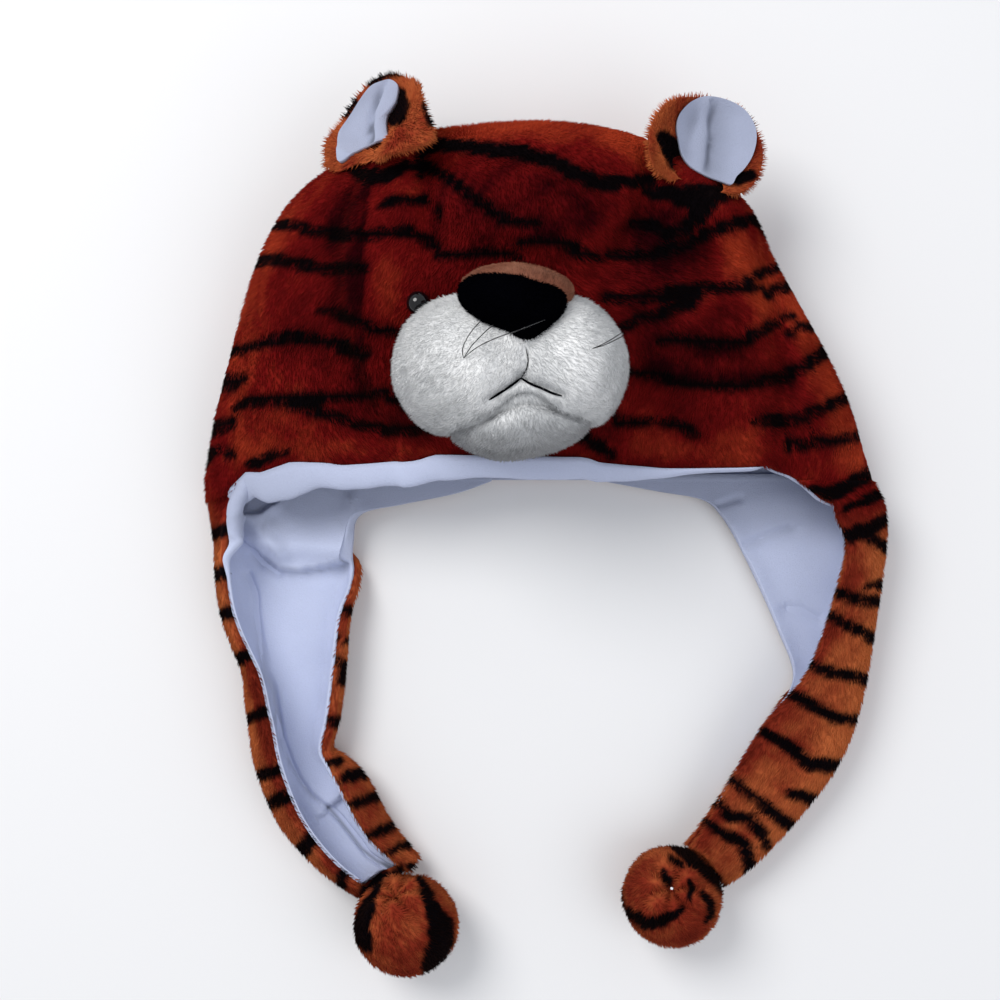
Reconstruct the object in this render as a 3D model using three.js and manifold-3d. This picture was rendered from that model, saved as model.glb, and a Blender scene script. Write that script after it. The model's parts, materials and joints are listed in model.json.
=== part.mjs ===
// A plush tiger trapper hat with ear flaps and pompoms, lying on its back, face up.
// Millimetres, +Z up from the floor, +Y from the brow to the top of the head, +X to the
// right of the face as it is seen. Each row of a table is one section, fold or piece.
import * as THREE from 'three';
import { mergeVertices } from 'three/addons/utils/BufferGeometryUtils.js';
import Module from 'manifold-3d';

const wasm = await Module();
wasm.setup();

// Where the tables' zero lies from the centre of the whole hat's base
const ORIGIN = { x: -21, y: 15 };

const MERGE = 1e-3;
const GAP = 0.3;
const PLUSH = 6;
const FLAP_PLUSH = 5;
const FLEECE = 1.8;

// Crown: sections from the brow to the top; left, right and height are the outer plush
const CROWN = [
  { y: 10, left: -137, right: 173, height: 50, side: 20 },
  { y: 42, left: -130, right: 161, height: 66, side: 24 },
  { y: 76, left: -121, right: 144, height: 77, side: 27 },
  { y: 106, left: -111, right: 127, height: 82, side: 29 },
  { y: 134, left: -96, right: 112, height: 80, side: 30 },
  { y: 154, left: -70, right: 88, height: 70, side: 30 },
  { y: 166, left: -36, right: 58, height: 51, side: 30 },
  { y: 169.5, left: 11, right: 11, height: 30, side: 30 },
];
const CROWN_ARCH = 2.3;
const CROWN_FLAT = 5;
const FLOOR_SPACING = 0.8;
const CROWN_AROUND = 34;
const CROWN_ALONG = 12;
const BROW_RISE = 7;
const RIM_REACH = 0.3;
const FOLD_FADE = 24;
const SHRINK_LEAST = 1e-6;
const FOLD_SAMPLES = 24;
const NORMAL = { step: 0.004, last: 0.98 };
const TOP_SMOOTH = 0.9;
const TOP_CROWDING = 1.1;
const TOP_SAMPLES = 60;

// The fleece rolls out over the plush along the brow, and ends in a thin lip elsewhere
const BROW_ROLL = { size: 8.4, lip: 0.3, inset: 1.2, steps: 4, from: -112, to: 132, soft: 14 };

// Folds of the face: a curve from start by middle to end, and how far it spreads each side.
// A fold swells and dies away over its ends. In order: the forehead's bulge, the band down the
// left of the face, the creases at its left and right, the right seam, the left seam and the
// hollow of the right cheek.
const FOLDS = [
  { start: [18, 142], middle: [16, 124], end: [12, 104], left: 30, right: 30, height: 7 },
  { start: [-53, 140], middle: [-62, 86], end: [-44, 34], left: 5, right: 17, height: 8 },
  { start: [-33, 154], middle: [-31, 125], end: [-26, 103], left: 6, right: 6, height: -6 },
  { start: [67, 150], middle: [60, 122], end: [42, 98], left: 6, right: 14, height: -6 },
  { start: [120, 114], middle: [126, 70], end: [130, 8], left: 8, right: 5, height: -5 },
  { start: [-114, 98], middle: [-119, 52], end: [-120, 8], left: 4, right: 8, height: -3 },
  { start: [48, 96], middle: [62, 62], end: [56, 22], left: 12, right: 16, height: -4 },
];

// Flaps: sections along the floor. x and y are the middle of the stretch that lies flat, floor is
// its length, and front and back are the straight edges past each bend. Turn is the bend's angle and
// R its radius. At the top the flat stretch runs out along the nape. The puff is the crown's fleece
// where it sags onto a flap.
const FLAP_LEFT = {
  side: -1,
  puff: { height: 8, from: -31, to: -19 },
  rows: [
    { x: -62, y: 8.8, floor: 113, back: 1, backTurn: 4, backR: 9, front: 12, frontTurn: 150, frontR: 14 },
    { x: -70.5, y: 3, floor: 97, back: 1, backTurn: 4, backR: 9, front: 12, frontTurn: 142, frontR: 13.5 },
    { x: -83, y: -2, floor: 73, back: 1, backTurn: 5, backR: 9, front: 12, frontTurn: 132, frontR: 13 },
    { x: -94, y: -7, floor: 51, back: 2, backTurn: 12, backR: 9, front: 13, frontTurn: 122, frontR: 12.5 },
    { x: -96, y: -20, floor: 45, back: 2, backTurn: 30, backR: 9, front: 13, frontTurn: 112, frontR: 12 },
    { x: -98.5, y: -47, floor: 37, back: 5, backTurn: 78, backR: 8, front: 11, frontTurn: 108, frontR: 10 },
    { x: -95, y: -76, floor: 23, back: 6, backTurn: 94, backR: 8, front: 11, frontTurn: 114, frontR: 10 },
    { x: -95, y: -97, floor: 18, back: 6, backTurn: 96, backR: 8, front: 13, frontTurn: 122, frontR: 10 },
    { x: -94.5, y: -120, floor: 11, back: 5, backTurn: 96, backR: 8, front: 13, frontTurn: 126, frontR: 10 },
    { x: -82.5, y: -140, floor: 20, back: 8, backTurn: 128, backR: 9, front: 12, frontTurn: 126, frontR: 9 },
    { x: -67, y: -161, floor: 16, back: 7, backTurn: 134, backR: 8, front: 8, frontTurn: 122, frontR: 8 },
    { x: -48, y: -178, floor: 9, back: 4, backTurn: 128, backR: 7, front: 4, frontTurn: 118, frontR: 7 },
  ],
};
const FLAP_RIGHT = {
  side: 1,
  puff: { height: 0, from: -31, to: -19 },
  rows: [
    { x: 101.5, y: 8.8, floor: 103, back: 1, backTurn: 4, backR: 9, front: 22, frontTurn: 172, frontR: 15 },
    { x: 115.8, y: 4, floor: 79.5, back: 1, backTurn: 4, backR: 9, front: 16, frontTurn: 172, frontR: 14.7 },
    { x: 127.5, y: 0, floor: 61, back: 1, backTurn: 4, backR: 9, front: 11, frontTurn: 172, frontR: 14.5 },
    { x: 133, y: -8, floor: 54, back: 1, backTurn: 4, backR: 9, front: 10, frontTurn: 172, frontR: 14 },
    { x: 139.5, y: -25, floor: 45, back: 1, backTurn: 4, backR: 9, front: 7, frontTurn: 172, frontR: 13 },
    { x: 145.5, y: -56, floor: 29, back: 1, backTurn: 4, backR: 9, front: 12, frontTurn: 174, frontR: 11 },
    { x: 147.5, y: -84, floor: 16, back: 1, backTurn: 4, backR: 8, front: 18.5, frontTurn: 176, frontR: 10 },
    { x: 139, y: -108, floor: 20, back: 1, backTurn: 4, backR: 8, front: 28, frontTurn: 178, frontR: 9 },
    { x: 126, y: -128, floor: 20, back: 1, backTurn: 4, backR: 8, front: 27, frontTurn: 180, frontR: 8.5 },
    { x: 106, y: -155, floor: 16, back: 1, backTurn: 4, backR: 7, front: 20, frontTurn: 180, frontR: 7.5 },
    { x: 93.5, y: -168, floor: 12, back: 1, backTurn: 4, backR: 6, front: 15, frontTurn: 180, frontR: 6.5 },
  ],
};
const FLAP_ALONG = 16;
const FLAP_STEP = 0.01;
const FLAP_SQUARE = { from: 3, to: 5 };
const BEND_STEPS = 4;
const FLOOR_STEPS = 2;

// Ears: a cupped oval each, turned in degrees; inner is the side towards the middle of the head.
// The fleece is a smaller oval, set towards the other side, so that plush shows along the inner one.
const EARS = [
  { name: 'ear_left', inner: 1, x: -49, y: 167, z: 52, tilt: -14, lean: -34, spin: -12, fleeceWidth: 27 },
  { name: 'ear_right', inner: -1, x: 88, y: 156, z: 50, tilt: -14, lean: 8, spin: -24, fleeceWidth: 36 },
];
const EAR = { width: 52, height: 41, cup: 7, curl: 10, plush: 4, seam: 0.9, rings: 4, around: 18 };
const EAR_FLEECE = { height: 37, shift: 6 };

// Stuffed pieces of the face: middle and half sizes of each rounded form
const CHEEKS = [
  { x: -13, y: 55, z: 82, rx: 31, ry: 31, rz: 42, lean: -8 },
  { x: 27, y: 56, z: 82, rx: 26, ry: 30, rz: 42, lean: 8 },
];
const SNOUT = { x: 8, y: 60, z: 84, rx: 26, ry: 28, rz: 37 };
const CHIN = { x: 9, y: 36, z: 79, rx: 33, ry: 20.5, rz: 35 };
const NOSE = { x: 7.5, y: 76, z: 112, half: 21.5, deep: 15, thick: 17, corner: 0.24, steps: 6, around: 21 };
const BRIDGE = { x: 9, y: 79.5, z: 94, rx: 26, ry: 16.5, rz: 30 };
const EYES = [
  { name: 'eye_left', x: -34, y: 82 },
  { name: 'eye_right', x: 41, y: 79.5 },
];
const EYE_RADIUS = 4.6;
const EYE_LIFT = 1;
const ROUND_STEPS = 14;
const EYE_STEPS = 12;

// Pompoms: a gathered ball each; the gather faces the way that pole points
const POMPOMS = [
  { name: 'pompom_left', x: -43, y: -195, pole: [-0.25, 0.85, 0.45] },
  { name: 'pompom_right', x: 79, y: -182, pole: [0.1, 0.35, 0.93] },
];
const POMPOM = { radius: 24.5, sink: 1.4, rings: 9, around: 24 };
// The gather: pleats that meet in a dimple at the pole and die away within spread, in radians
const GATHER = { pleats: 8, depth: 0.05, dimple: 0.16, spread: 0.75 };

const COLOURS = {
  plush: { color: 0xa8401a, roughness: 0.92, metalness: 0 },
  fleece: { color: 0xc9cde0, roughness: 0.95, metalness: 0 },
  muzzlePlush: { color: 0xcfd4d4, roughness: 0.95, metalness: 0 },
  blackPlush: { color: 0x07070c, roughness: 0.9, metalness: 0 },
  tanPlush: { color: 0xb9734b, roughness: 0.9, metalness: 0 },
  eyePlastic: { color: 0x050505, roughness: 0.15, metalness: 0 },
};

const { clamp, degToRad, lerp, smoothstep } = THREE.MathUtils;

// A smooth value of one column at row number t
function column(rows, name, t) {
  const last = rows.length - 1;
  const i = Math.min(Math.floor(t), last - 1);
  const f = t - i;
  const [a, b, c, d] = [i - 1, i, i + 1, i + 2].map((k) => rows[clamp(k, 0, last)][name]);
  return b + 0.5 * f * (c - a + f * (2 * a - 5 * b + 4 * c - d + f * (3 * (b - c) + d - a)));
}

// 1 between from and to, falling to 0 over a soft margin outside them
function band(value, { from, to, soft }) {
  return smoothstep(value, from - soft, from) * (1 - smoothstep(value, to, to + soft));
}

// Signed power, for the rounded-box sections
function power(value, exponent) {
  return Math.sign(value) * Math.abs(value) ** exponent;
}

// Faces between rings of equal length, with a cap over each end
function ringSolid(rings, cap) {
  const count = rings[0].length;
  const points = rings.flat();
  const faces = [];
  for (let i = 0; i + 1 < rings.length; i += 1) {
    for (let j = 0; j < count; j += 1) {
      const a = i * count + j;
      const b = i * count + ((j + 1) % count);
      faces.push(a, b, b + count, a, b + count, a + count);
    }
  }
  cap(points, faces, 0, count, true);
  cap(points, faces, (rings.length - 1) * count, count, false);
  return outward(points, faces);
}

// A fan of faces to the middle of a ring
function fanCap(points, faces, start, count, flip) {
  const middle = new THREE.Vector3();
  for (let j = 0; j < count; j += 1) {
    middle.add(points[start + j]);
  }
  const centre = points.push(middle.divideScalar(count)) - 1;
  for (let j = 0; j < count; j += 1) {
    const a = start + j;
    const b = start + ((j + 1) % count);
    faces.push(...(flip ? [b, a, centre] : [a, b, centre]));
  }
}

// Faces across a ring whose second half runs back along the first, as on a bent strip
function stripCap(points, faces, start, count, flip) {
  for (let j = 0; j + 1 < count / 2; j += 1) {
    const a = start + j;
    const b = start + j + 1;
    const c = start + count - 2 - j;
    const d = start + count - 1 - j;
    faces.push(...(flip ? [a, c, b, a, d, c] : [a, b, c, a, c, d]));
  }
}

// A closed geometry whose faces point outwards
function outward(points, faces) {
  const geometry = new THREE.BufferGeometry().setFromPoints(points);
  geometry.setIndex(faces);
  const merged = mergeVertices(geometry, MERGE);
  const place = merged.getAttribute('position');
  const index = Array.from(merged.getIndex().array);
  const kept = [];
  let volume = 0;
  const corner = [new THREE.Vector3(), new THREE.Vector3(), new THREE.Vector3()];
  for (let k = 0; k < index.length; k += 3) {
    const [a, b, c] = index.slice(k, k + 3);
    if (a !== b && b !== c && c !== a) {
      kept.push(a, b, c);
      [a, b, c].forEach((v, n) => corner[n].fromBufferAttribute(place, v));
      volume += corner[0].dot(corner[1].clone().cross(corner[2]));
    }
  }
  merged.setIndex(volume < 0 ? kept.reverse() : kept);
  return merged;
}

// Geometry to a solid that can be joined and cut, and back
function solidOf(geometry) {
  const vertProperties = new Float32Array(geometry.getAttribute('position').array);
  const triVerts = new Uint32Array(geometry.getIndex().array);
  return new wasm.Manifold(new wasm.Mesh({ numProp: 3, vertProperties, triVerts }));
}

function geometryOf(solid) {
  const mesh = solid.getMesh();
  const geometry = new THREE.BufferGeometry();
  geometry.setAttribute('position', new THREE.BufferAttribute(mesh.vertProperties, 3));
  geometry.setIndex(new THREE.BufferAttribute(mesh.triVerts, 1));
  return geometry;
}

// Distance of a plan point from a fold's curve: signed across it, and how far along
function foldPlace(fold, x, y) {
  const start = new THREE.Vector2(...fold.start);
  const end = new THREE.Vector2(...fold.end);
  const bend = new THREE.Vector2(...fold.middle).multiplyScalar(2);
  bend.addScaledVector(start, -0.5).addScaledVector(end, -0.5);
  const curve = new THREE.QuadraticBezierCurve(start, bend, end);
  let best = { gap: Infinity };
  for (let k = 0; k <= FOLD_SAMPLES; k += 1) {
    const t = k / FOLD_SAMPLES;
    const place = curve.getPoint(t);
    const gap = Math.hypot(x - place.x, y - place.y);
    if (gap < best.gap) {
      best = { gap, t, right: x > place.x };
    }
  }
  return best;
}

// How far the folds lift or sink the plush at a plan point
function foldLift(x, y) {
  let lift = 0;
  for (const fold of FOLDS) {
    const { gap, t, right } = foldPlace(fold, x, y);
    const spread = right ? fold.right : fold.left;
    const ends = smoothstep(t, -0.2, 0.2) * (1 - smoothstep(t, 0.8, 1.2));
    lift += fold.height * ends * Math.exp(-((gap / spread) ** 2));
  }
  return lift;
}

// A half size less a wall, which thins out where the half size itself runs out
function shrink(half, wall) {
  return half - (wall * half) / (half + Math.abs(wall) + SHRINK_LEAST);
}

// The crown without folds: turn goes round it, along goes from brow to top, inset goes inwards
function crownBase(turn, along, inset) {
  const t = along * (CROWN.length - 1);
  const [y, left, right, height, side] = ['y', 'left', 'right', 'height', 'side'].map((name) =>
    column(CROWN, name, t),
  );
  const across = Math.cos(2 * Math.PI * turn);
  const up = Math.sin(2 * Math.PI * turn);
  const bow = up > 0 ? CROWN_ARCH : CROWN_FLAT;
  const reach = power(across, up > 0 ? 2 / bow : FLOOR_SPACING);
  const rise = Math.max(1 - Math.abs(reach) ** bow, 0) ** (1 / bow) * Math.sign(up);
  const middle = (left + right) / 2;
  const x = middle + shrink((right - left) / 2, inset) * reach;
  const z = side + shrink(up > 0 ? height - side : side, inset) * rise;
  const rim = (1 - smoothstep(along, 0, RIM_REACH)) ** 2;
  const brow = BROW_RISE * smoothstep(up, 0, 0.6);
  const depth = (y - CROWN[0].y) * (1 - inset / (CROWN.at(-1).y - CROWN[0].y));
  return new THREE.Vector3(x, CROWN[0].y + depth + rim * brow, z);
}

// A point of the crown with its folds, inset from its outer plush
function crownPoint(turn, along, inset) {
  const { step } = NORMAL;
  const low = Math.min(along, NORMAL.last);
  const outer = crownBase(turn, low, 0);
  const round = crownBase(turn + step, low, 0).sub(crownBase(turn - step, low, 0));
  const normal = crownBase(turn, low + step, 0).sub(outer).cross(round).normalize();
  const face = smoothstep(Math.sin(2 * Math.PI * turn), 0, 0.3);
  const upper = face * (1 - smoothstep(along, TOP_SMOOTH, 1));
  const lift = upper * foldLift(outer.x, outer.y) * (1 - inset / FOLD_FADE);
  return crownBase(turn, along, inset).addScaledVector(normal, lift);
}

function crownRing(along, inset, shift = () => 0) {
  const ring = [];
  for (let j = 0; j < CROWN_AROUND; j += 1) {
    const turn = j / CROWN_AROUND;
    const point = crownPoint(turn, along, typeof inset === 'function' ? inset(turn) : inset);
    point.y += shift(turn);
    ring.push(point);
  }
  return ring;
}

// Steps along the crown from the brow to just short of the top, closer together near the top
function crownSteps() {
  const steps = [];
  for (let i = 0; i < CROWN_ALONG; i += 1) {
    steps.push(Math.sin((0.5 * Math.PI * i) / CROWN_ALONG) ** TOP_CROWDING);
  }
  return steps;
}

function crownPlush() {
  const steps = crownSteps();
  const outer = steps.map((along) => crownRing(along, 0)).reverse();
  const inner = steps.map((along) => crownRing(along, PLUSH));
  return ringSolid([...outer, ...inner], fanCap);
}

// The whole crown as one filled form, for seating the pieces that sit on it
function crownForm(clear) {
  return ringSolid(crownSteps().map((along) => crownRing(along, -clear)).reverse(), fanCap);
}

// How strongly the fleece rolls over the rim there: all along the brow, not at the sides or nape
function rollWeight(turn) {
  const rim = crownBase(turn, 0, 0);
  return smoothstep(Math.sin(2 * Math.PI * turn), 0.25, 0.6) * band(rim.x, BROW_ROLL);
}

function crownFleece() {
  const outerInset = PLUSH + GAP;
  const innerInset = outerInset + FLEECE;
  const steps = crownSteps();
  const outer = steps.map((along) => crownRing(along, outerInset));
  const inner = steps.map((along) => crownRing(along, innerInset)).reverse();
  const roll = [];
  for (let k = 0; k <= BROW_ROLL.steps; k += 1) {
    const swing = (Math.PI * k) / BROW_ROLL.steps;
    const inset = (turn) => {
      const lip = lerp(outerInset, BROW_ROLL.inset, rollWeight(turn));
      return (lip + innerInset) / 2 - ((innerInset - lip) / 2) * Math.cos(swing);
    };
    const size = (turn) => lerp(BROW_ROLL.lip, BROW_ROLL.size, rollWeight(turn));
    roll.unshift(crownRing(0, inset, (turn) => -GAP - size(turn) * Math.sin(swing)));
  }
  return ringSolid([...inner, ...roll, ...outer], fanCap);
}

// The bent section of a flap: a list of across, height and the way that the outside faces
function flapSection(flap, t) {
  const [floor, front, frontTurn, frontR, back, backTurn, backR] = [
    'floor', 'front', 'frontTurn', 'frontR', 'back', 'backTurn', 'backR',
  ].map((name) => column(flap.rows, name, t));
  const places = [];
  const half = (edge, turn, radius, way) => {
    const list = [];
    for (let k = 1; k <= BEND_STEPS; k += 1) {
      const swing = (degToRad(turn) * k) / BEND_STEPS;
      const across = floor / 2 + radius * Math.sin(swing);
      const up = radius * (1 - Math.cos(swing));
      list.push({ across: way * across, up, nx: way * Math.sin(swing), nz: -Math.cos(swing) });
    }
    const end = list.at(-1);
    list.push({ ...end, across: end.across - edge * end.nz * way, up: end.up + edge * end.nx * way });
    return list;
  };
  places.push(...half(back, backTurn, backR, -1).reverse());
  for (let k = 0; k <= FLOOR_STEPS; k += 1) {
    places.push({ across: floor * (k / FLOOR_STEPS - 0.5), up: 0, nx: 0, nz: -1 });
  }
  places.push(...half(front, frontTurn, frontR, 1));
  return places;
}

// One layer of a flap, between two distances outwards from the seam of its plush and its fleece
function flapLayer(flap, near, far) {
  const last = flap.rows.length - 1;
  const rings = [];
  for (let i = 0; i <= FLAP_ALONG; i += 1) {
    const t = (last * i) / FLAP_ALONG;
    const low = clamp(t - FLAP_STEP, 0, last);
    const high = clamp(t + FLAP_STEP, 0, last);
    const way = new THREE.Vector2(
      column(flap.rows, 'x', high) - column(flap.rows, 'x', low),
      column(flap.rows, 'y', high) - column(flap.rows, 'y', low),
    ).normalize();
    const turned = smoothstep(t, FLAP_SQUARE.from, FLAP_SQUARE.to);
    const ax = lerp(flap.side, -way.y * flap.side, turned);
    const ay = lerp(0, way.x * flap.side, turned);
    const x = column(flap.rows, 'x', t);
    const y = column(flap.rows, 'y', t);
    const puff = near < 0 ? flap.puff.height * smoothstep(y, flap.puff.from, flap.puff.to) : 0;
    const side = (offset) =>
      flapSection(flap, t).map(({ across, up, nx, nz }) => {
        const out = across + (offset - puff * nx ** 2) * nx;
        const height = FLAP_PLUSH + up + (offset - puff * nz ** 2) * nz;
        return new THREE.Vector3(x + ax * out, y + ay * out, height);
      });
    rings.push([...side(far), ...side(near).reverse()]);
  }
  return ringSolid(rings, stripCap);
}

// An ear's oval bowl: front and back skins that meet in a rounded rim
function earLayer(inner, { width, height, shift, near, far }) {
  const skin = (offset) => {
    const rings = [];
    for (let i = 1; i <= EAR.rings; i += 1) {
      const reach = i / EAR.rings;
      const ring = [];
      for (let j = 0; j < EAR.around; j += 1) {
        const angle = (2 * Math.PI * j) / EAR.around;
        const x = -inner * shift + (width / 2) * reach * Math.cos(angle);
        const y = (height / 2) * reach * Math.sin(angle);
        ring.push(new THREE.Vector3(x, y, earBowl(inner, x, y) + offset));
      }
      rings.push(ring);
    }
    return rings;
  };
  return ringSolid([...skin(far), ...skin(near).reverse()], fanCap);
}

function earBowl(inner, x, y) {
  const reach = Math.hypot(x / (EAR.width / 2), y / (EAR.height / 2));
  const curl = smoothstep((x * inner) / (EAR.width / 2), 0.2, 1);
  return EAR.cup * reach ** 2 + EAR.curl * curl;
}

function earPlace(ear) {
  const turn = new THREE.Euler(degToRad(ear.tilt), degToRad(ear.lean), degToRad(ear.spin), 'ZYX');
  return new THREE.Matrix4().makeRotationFromEuler(turn).setPosition(ear.x, ear.y, ear.z);
}

// A rounded form from its middle and half sizes, grown by clear
function ball({ x, y, z, rx, ry, rz, lean = 0 }, clear = 0, around = ROUND_STEPS) {
  const geometry = new THREE.SphereGeometry(1, around, Math.round(around * 0.6));
  geometry.deleteAttribute('normal');
  geometry.deleteAttribute('uv');
  geometry.scale(rx + clear, ry + clear, rz + clear);
  geometry.rotateZ(degToRad(lean));
  geometry.translate(x, y, z);
  return solidOf(mergeVertices(geometry, MERGE));
}

function muzzleForm(clear) {
  return ball(CHEEKS[0], clear).add(ball(CHEEKS[1], clear)).add(ball(SNOUT, clear));
}

// The nose: a triangle with rounded corners, pointing to the mouth, domed on both faces
function noseForm(clear) {
  const rings = [];
  const { steps, around } = NOSE;
  for (let i = 1; i < steps; i += 1) {
    const swing = (Math.PI * i) / steps;
    const ring = [];
    for (let j = 0; j < around; j += 1) {
      const angle = (2 * Math.PI * j) / around;
      const reach = (1 + NOSE.corner * Math.sin(3 * angle)) * Math.sin(swing);
      const x = NOSE.x + (NOSE.half + clear) * reach * Math.cos(angle);
      const y = NOSE.y + (NOSE.deep + clear) * reach * Math.sin(angle);
      const z = NOSE.z - (NOSE.thick + clear) * Math.cos(swing);
      ring.push(new THREE.Vector3(x, y, z));
    }
    rings.push(ring);
  }
  return solidOf(ringSolid(rings, fanCap));
}

function pompomForm(pompom, clear) {
  const pole = new THREE.Vector3(...pompom.pole).normalize();
  const turn = new THREE.Quaternion().setFromUnitVectors(new THREE.Vector3(0, 0, 1), pole);
  const centre = new THREE.Vector3(pompom.x, pompom.y, POMPOM.radius - POMPOM.sink);
  const rings = [];
  for (let i = 1; i < POMPOM.rings; i += 1) {
    const swing = (Math.PI * i) / POMPOM.rings;
    const gather = Math.exp(-((swing / GATHER.spread) ** 2));
    const ring = [];
    for (let j = 0; j < POMPOM.around; j += 1) {
      const angle = (2 * Math.PI * j) / POMPOM.around;
      const pleat = GATHER.depth * gather * Math.cos(GATHER.pleats * angle);
      const radius = POMPOM.radius * (1 - GATHER.dimple * gather ** 3 + pleat) + clear;
      const point = new THREE.Vector3().setFromSphericalCoords(radius, swing, angle);
      point.set(point.x, point.z, point.y).applyQuaternion(turn).add(centre);
      point.z = Math.max(point.z, -clear);
      ring.push(point);
    }
    rings.push(ring);
  }
  return ringSolid(rings, fanCap);
}

// Height of the crown's upper side at a plan point
function crownTop(x, y) {
  let best = { gap: Infinity, z: 0 };
  for (let i = 0; i < TOP_SAMPLES; i += 1) {
    for (let j = 1; j < TOP_SAMPLES; j += 1) {
      const point = crownPoint(j / TOP_SAMPLES / 2, i / TOP_SAMPLES, 0);
      const gap = Math.hypot(point.x - x, point.y - y);
      if (gap < best.gap) {
        best = { gap, z: point.z };
      }
    }
  }
  return best.z;
}

const hat = new THREE.Group();
hat.name = 'tiger_trapper_hat';
hat.position.set(ORIGIN.x, ORIGIN.y, 0);

function addPiece(name, geometry, colour) {
  const mesh = new THREE.Mesh(geometry, new THREE.MeshStandardMaterial(COLOURS[colour]));
  mesh.name = name;
  hat.add(mesh);
}

function addCrown() {
  addPiece('crown', crownPlush(), 'plush');
  addPiece('crown_lining', crownFleece(), 'fleece');
}

function addFlap(name, flap, pompom) {
  const clear = solidOf(pompomForm(pompom, GAP));
  const plush = solidOf(flapLayer(flap, 0, FLAP_PLUSH));
  const fleece = solidOf(flapLayer(flap, -GAP, -GAP - FLEECE));
  addPiece(name, geometryOf(plush.subtract(clear)), 'plush');
  addPiece(`${name}_lining`, geometryOf(fleece.subtract(clear)), 'fleece');
  addPiece(pompom.name, pompomForm(pompom, 0), 'plush');
}

function addEar(ear, crown) {
  const place = earPlace(ear);
  const back = earLayer(ear.inner, { ...EAR, shift: 0, near: 0, far: -EAR.plush });
  const skin = { width: ear.fleeceWidth, near: EAR.seam, far: EAR.seam + FLEECE };
  const front = earLayer(ear.inner, { ...EAR_FLEECE, ...skin });
  const plush = solidOf(back.applyMatrix4(place)).subtract(crown);
  const fleece = solidOf(front.applyMatrix4(place)).subtract(crown);
  addPiece(ear.name, geometryOf(plush), 'plush');
  addPiece(`${ear.name}_lining`, geometryOf(fleece), 'fleece');
}

function addFace(crown) {
  const muzzle = muzzleForm(0).subtract(crown);
  const roundMuzzle = muzzleForm(GAP);
  const chin = ball(CHIN).subtract(crown).subtract(roundMuzzle);
  const nose = noseForm(0).subtract(crown).subtract(roundMuzzle);
  const bridge = ball(BRIDGE).subtract(crown).subtract(roundMuzzle).subtract(noseForm(GAP));
  addPiece('muzzle', geometryOf(muzzle), 'muzzlePlush');
  addPiece('chin', geometryOf(chin), 'muzzlePlush');
  addPiece('nose', geometryOf(nose), 'blackPlush');
  addPiece('nose_bridge', geometryOf(bridge), 'tanPlush');
  for (const eye of EYES) {
    const size = { rx: EYE_RADIUS, ry: EYE_RADIUS, rz: EYE_RADIUS };
    const height = crownTop(eye.x, eye.y) + EYE_LIFT;
    const dome = ball({ ...size, x: eye.x, y: eye.y, z: height }, 0, EYE_STEPS);
    addPiece(eye.name, geometryOf(dome.subtract(crown).subtract(roundMuzzle)), 'eyePlastic');
  }
}

const crownClear = solidOf(crownForm(GAP));
addCrown();
addFlap('flap_left', FLAP_LEFT, POMPOMS[0]);
addFlap('flap_right', FLAP_RIGHT, POMPOMS[1]);
EARS.forEach((ear) => addEar(ear, crownClear));
addFace(crownClear);

export default hat;
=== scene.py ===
"""The looks of a plush tiger trapper hat with ear flaps, lying on its back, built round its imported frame.

The tables are in millimetres, with x to the right of the face, y from the brow to the top of the head and z up
from the floor. Plan places are those of the seen surface carried straight from the camera down to the floor.
"""

import json
import logging
from collections.abc import Callable, Sequence
from dataclasses import dataclass
from enum import Enum

import bpy
import numpy as np
from mathutils import Euler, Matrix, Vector
from mathutils.bvhtree import BVHTree

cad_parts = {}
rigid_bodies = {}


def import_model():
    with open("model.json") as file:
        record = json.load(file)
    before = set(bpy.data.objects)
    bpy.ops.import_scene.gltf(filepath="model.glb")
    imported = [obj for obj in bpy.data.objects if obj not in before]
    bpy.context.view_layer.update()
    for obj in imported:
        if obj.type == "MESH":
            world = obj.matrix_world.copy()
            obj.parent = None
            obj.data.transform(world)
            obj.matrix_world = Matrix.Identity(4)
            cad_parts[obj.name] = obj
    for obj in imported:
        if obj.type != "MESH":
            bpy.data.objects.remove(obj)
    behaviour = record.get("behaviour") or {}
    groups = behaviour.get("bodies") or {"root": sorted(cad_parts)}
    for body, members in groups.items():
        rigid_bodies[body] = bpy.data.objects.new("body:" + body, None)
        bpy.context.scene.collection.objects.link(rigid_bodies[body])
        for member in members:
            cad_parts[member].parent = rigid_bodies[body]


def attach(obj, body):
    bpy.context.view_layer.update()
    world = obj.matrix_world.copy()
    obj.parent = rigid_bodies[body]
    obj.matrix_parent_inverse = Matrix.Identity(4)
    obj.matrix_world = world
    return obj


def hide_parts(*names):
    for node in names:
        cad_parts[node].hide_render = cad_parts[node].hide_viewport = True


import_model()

LOG = logging.getLogger("hat")
Array = np.ndarray
Object = bpy.types.Object
Mesh = bpy.types.Mesh
Material = bpy.types.Material
Colour = tuple[float, float, float]
Stripe = tuple[tuple[float, float, float], ...]

ORIGIN = np.array([-21.0, 15.0, 0.0])
METRE = 0.001
EYE_HEIGHT = 700.0
PICTURE_MIDDLE = 500
PICTURE_POINT = np.array([0.475, -0.475])
CLOTH_MAP = "OFBake"

# Thicknesses, the gap of fleece from plush, the height of the pile, the gap from the floor in metres, and how far
# stuffing may swell a piece
PLUSH = 6.0
FLAP_PLUSH = 5.0
FLEECE = 1.8
GAP = 0.3
STAND = 1.5
FLOOR_GAP = 0.0003
SWELL_MOST = 5.0

# Crown sections from the brow to the top: y, left, right, height, side
CROWN = np.array([
    (10, -137, 173, 50, 20),
    (42, -130, 161, 66, 24),
    (76, -121, 144, 77, 27),
    (106, -111, 127, 82, 29),
    (134, -96, 112, 80, 30),
    (154, -70, 88, 70, 30),
    (166, -36, 58, 51, 30),
    (169.5, 11, 11, 30, 30),
], float)

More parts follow.
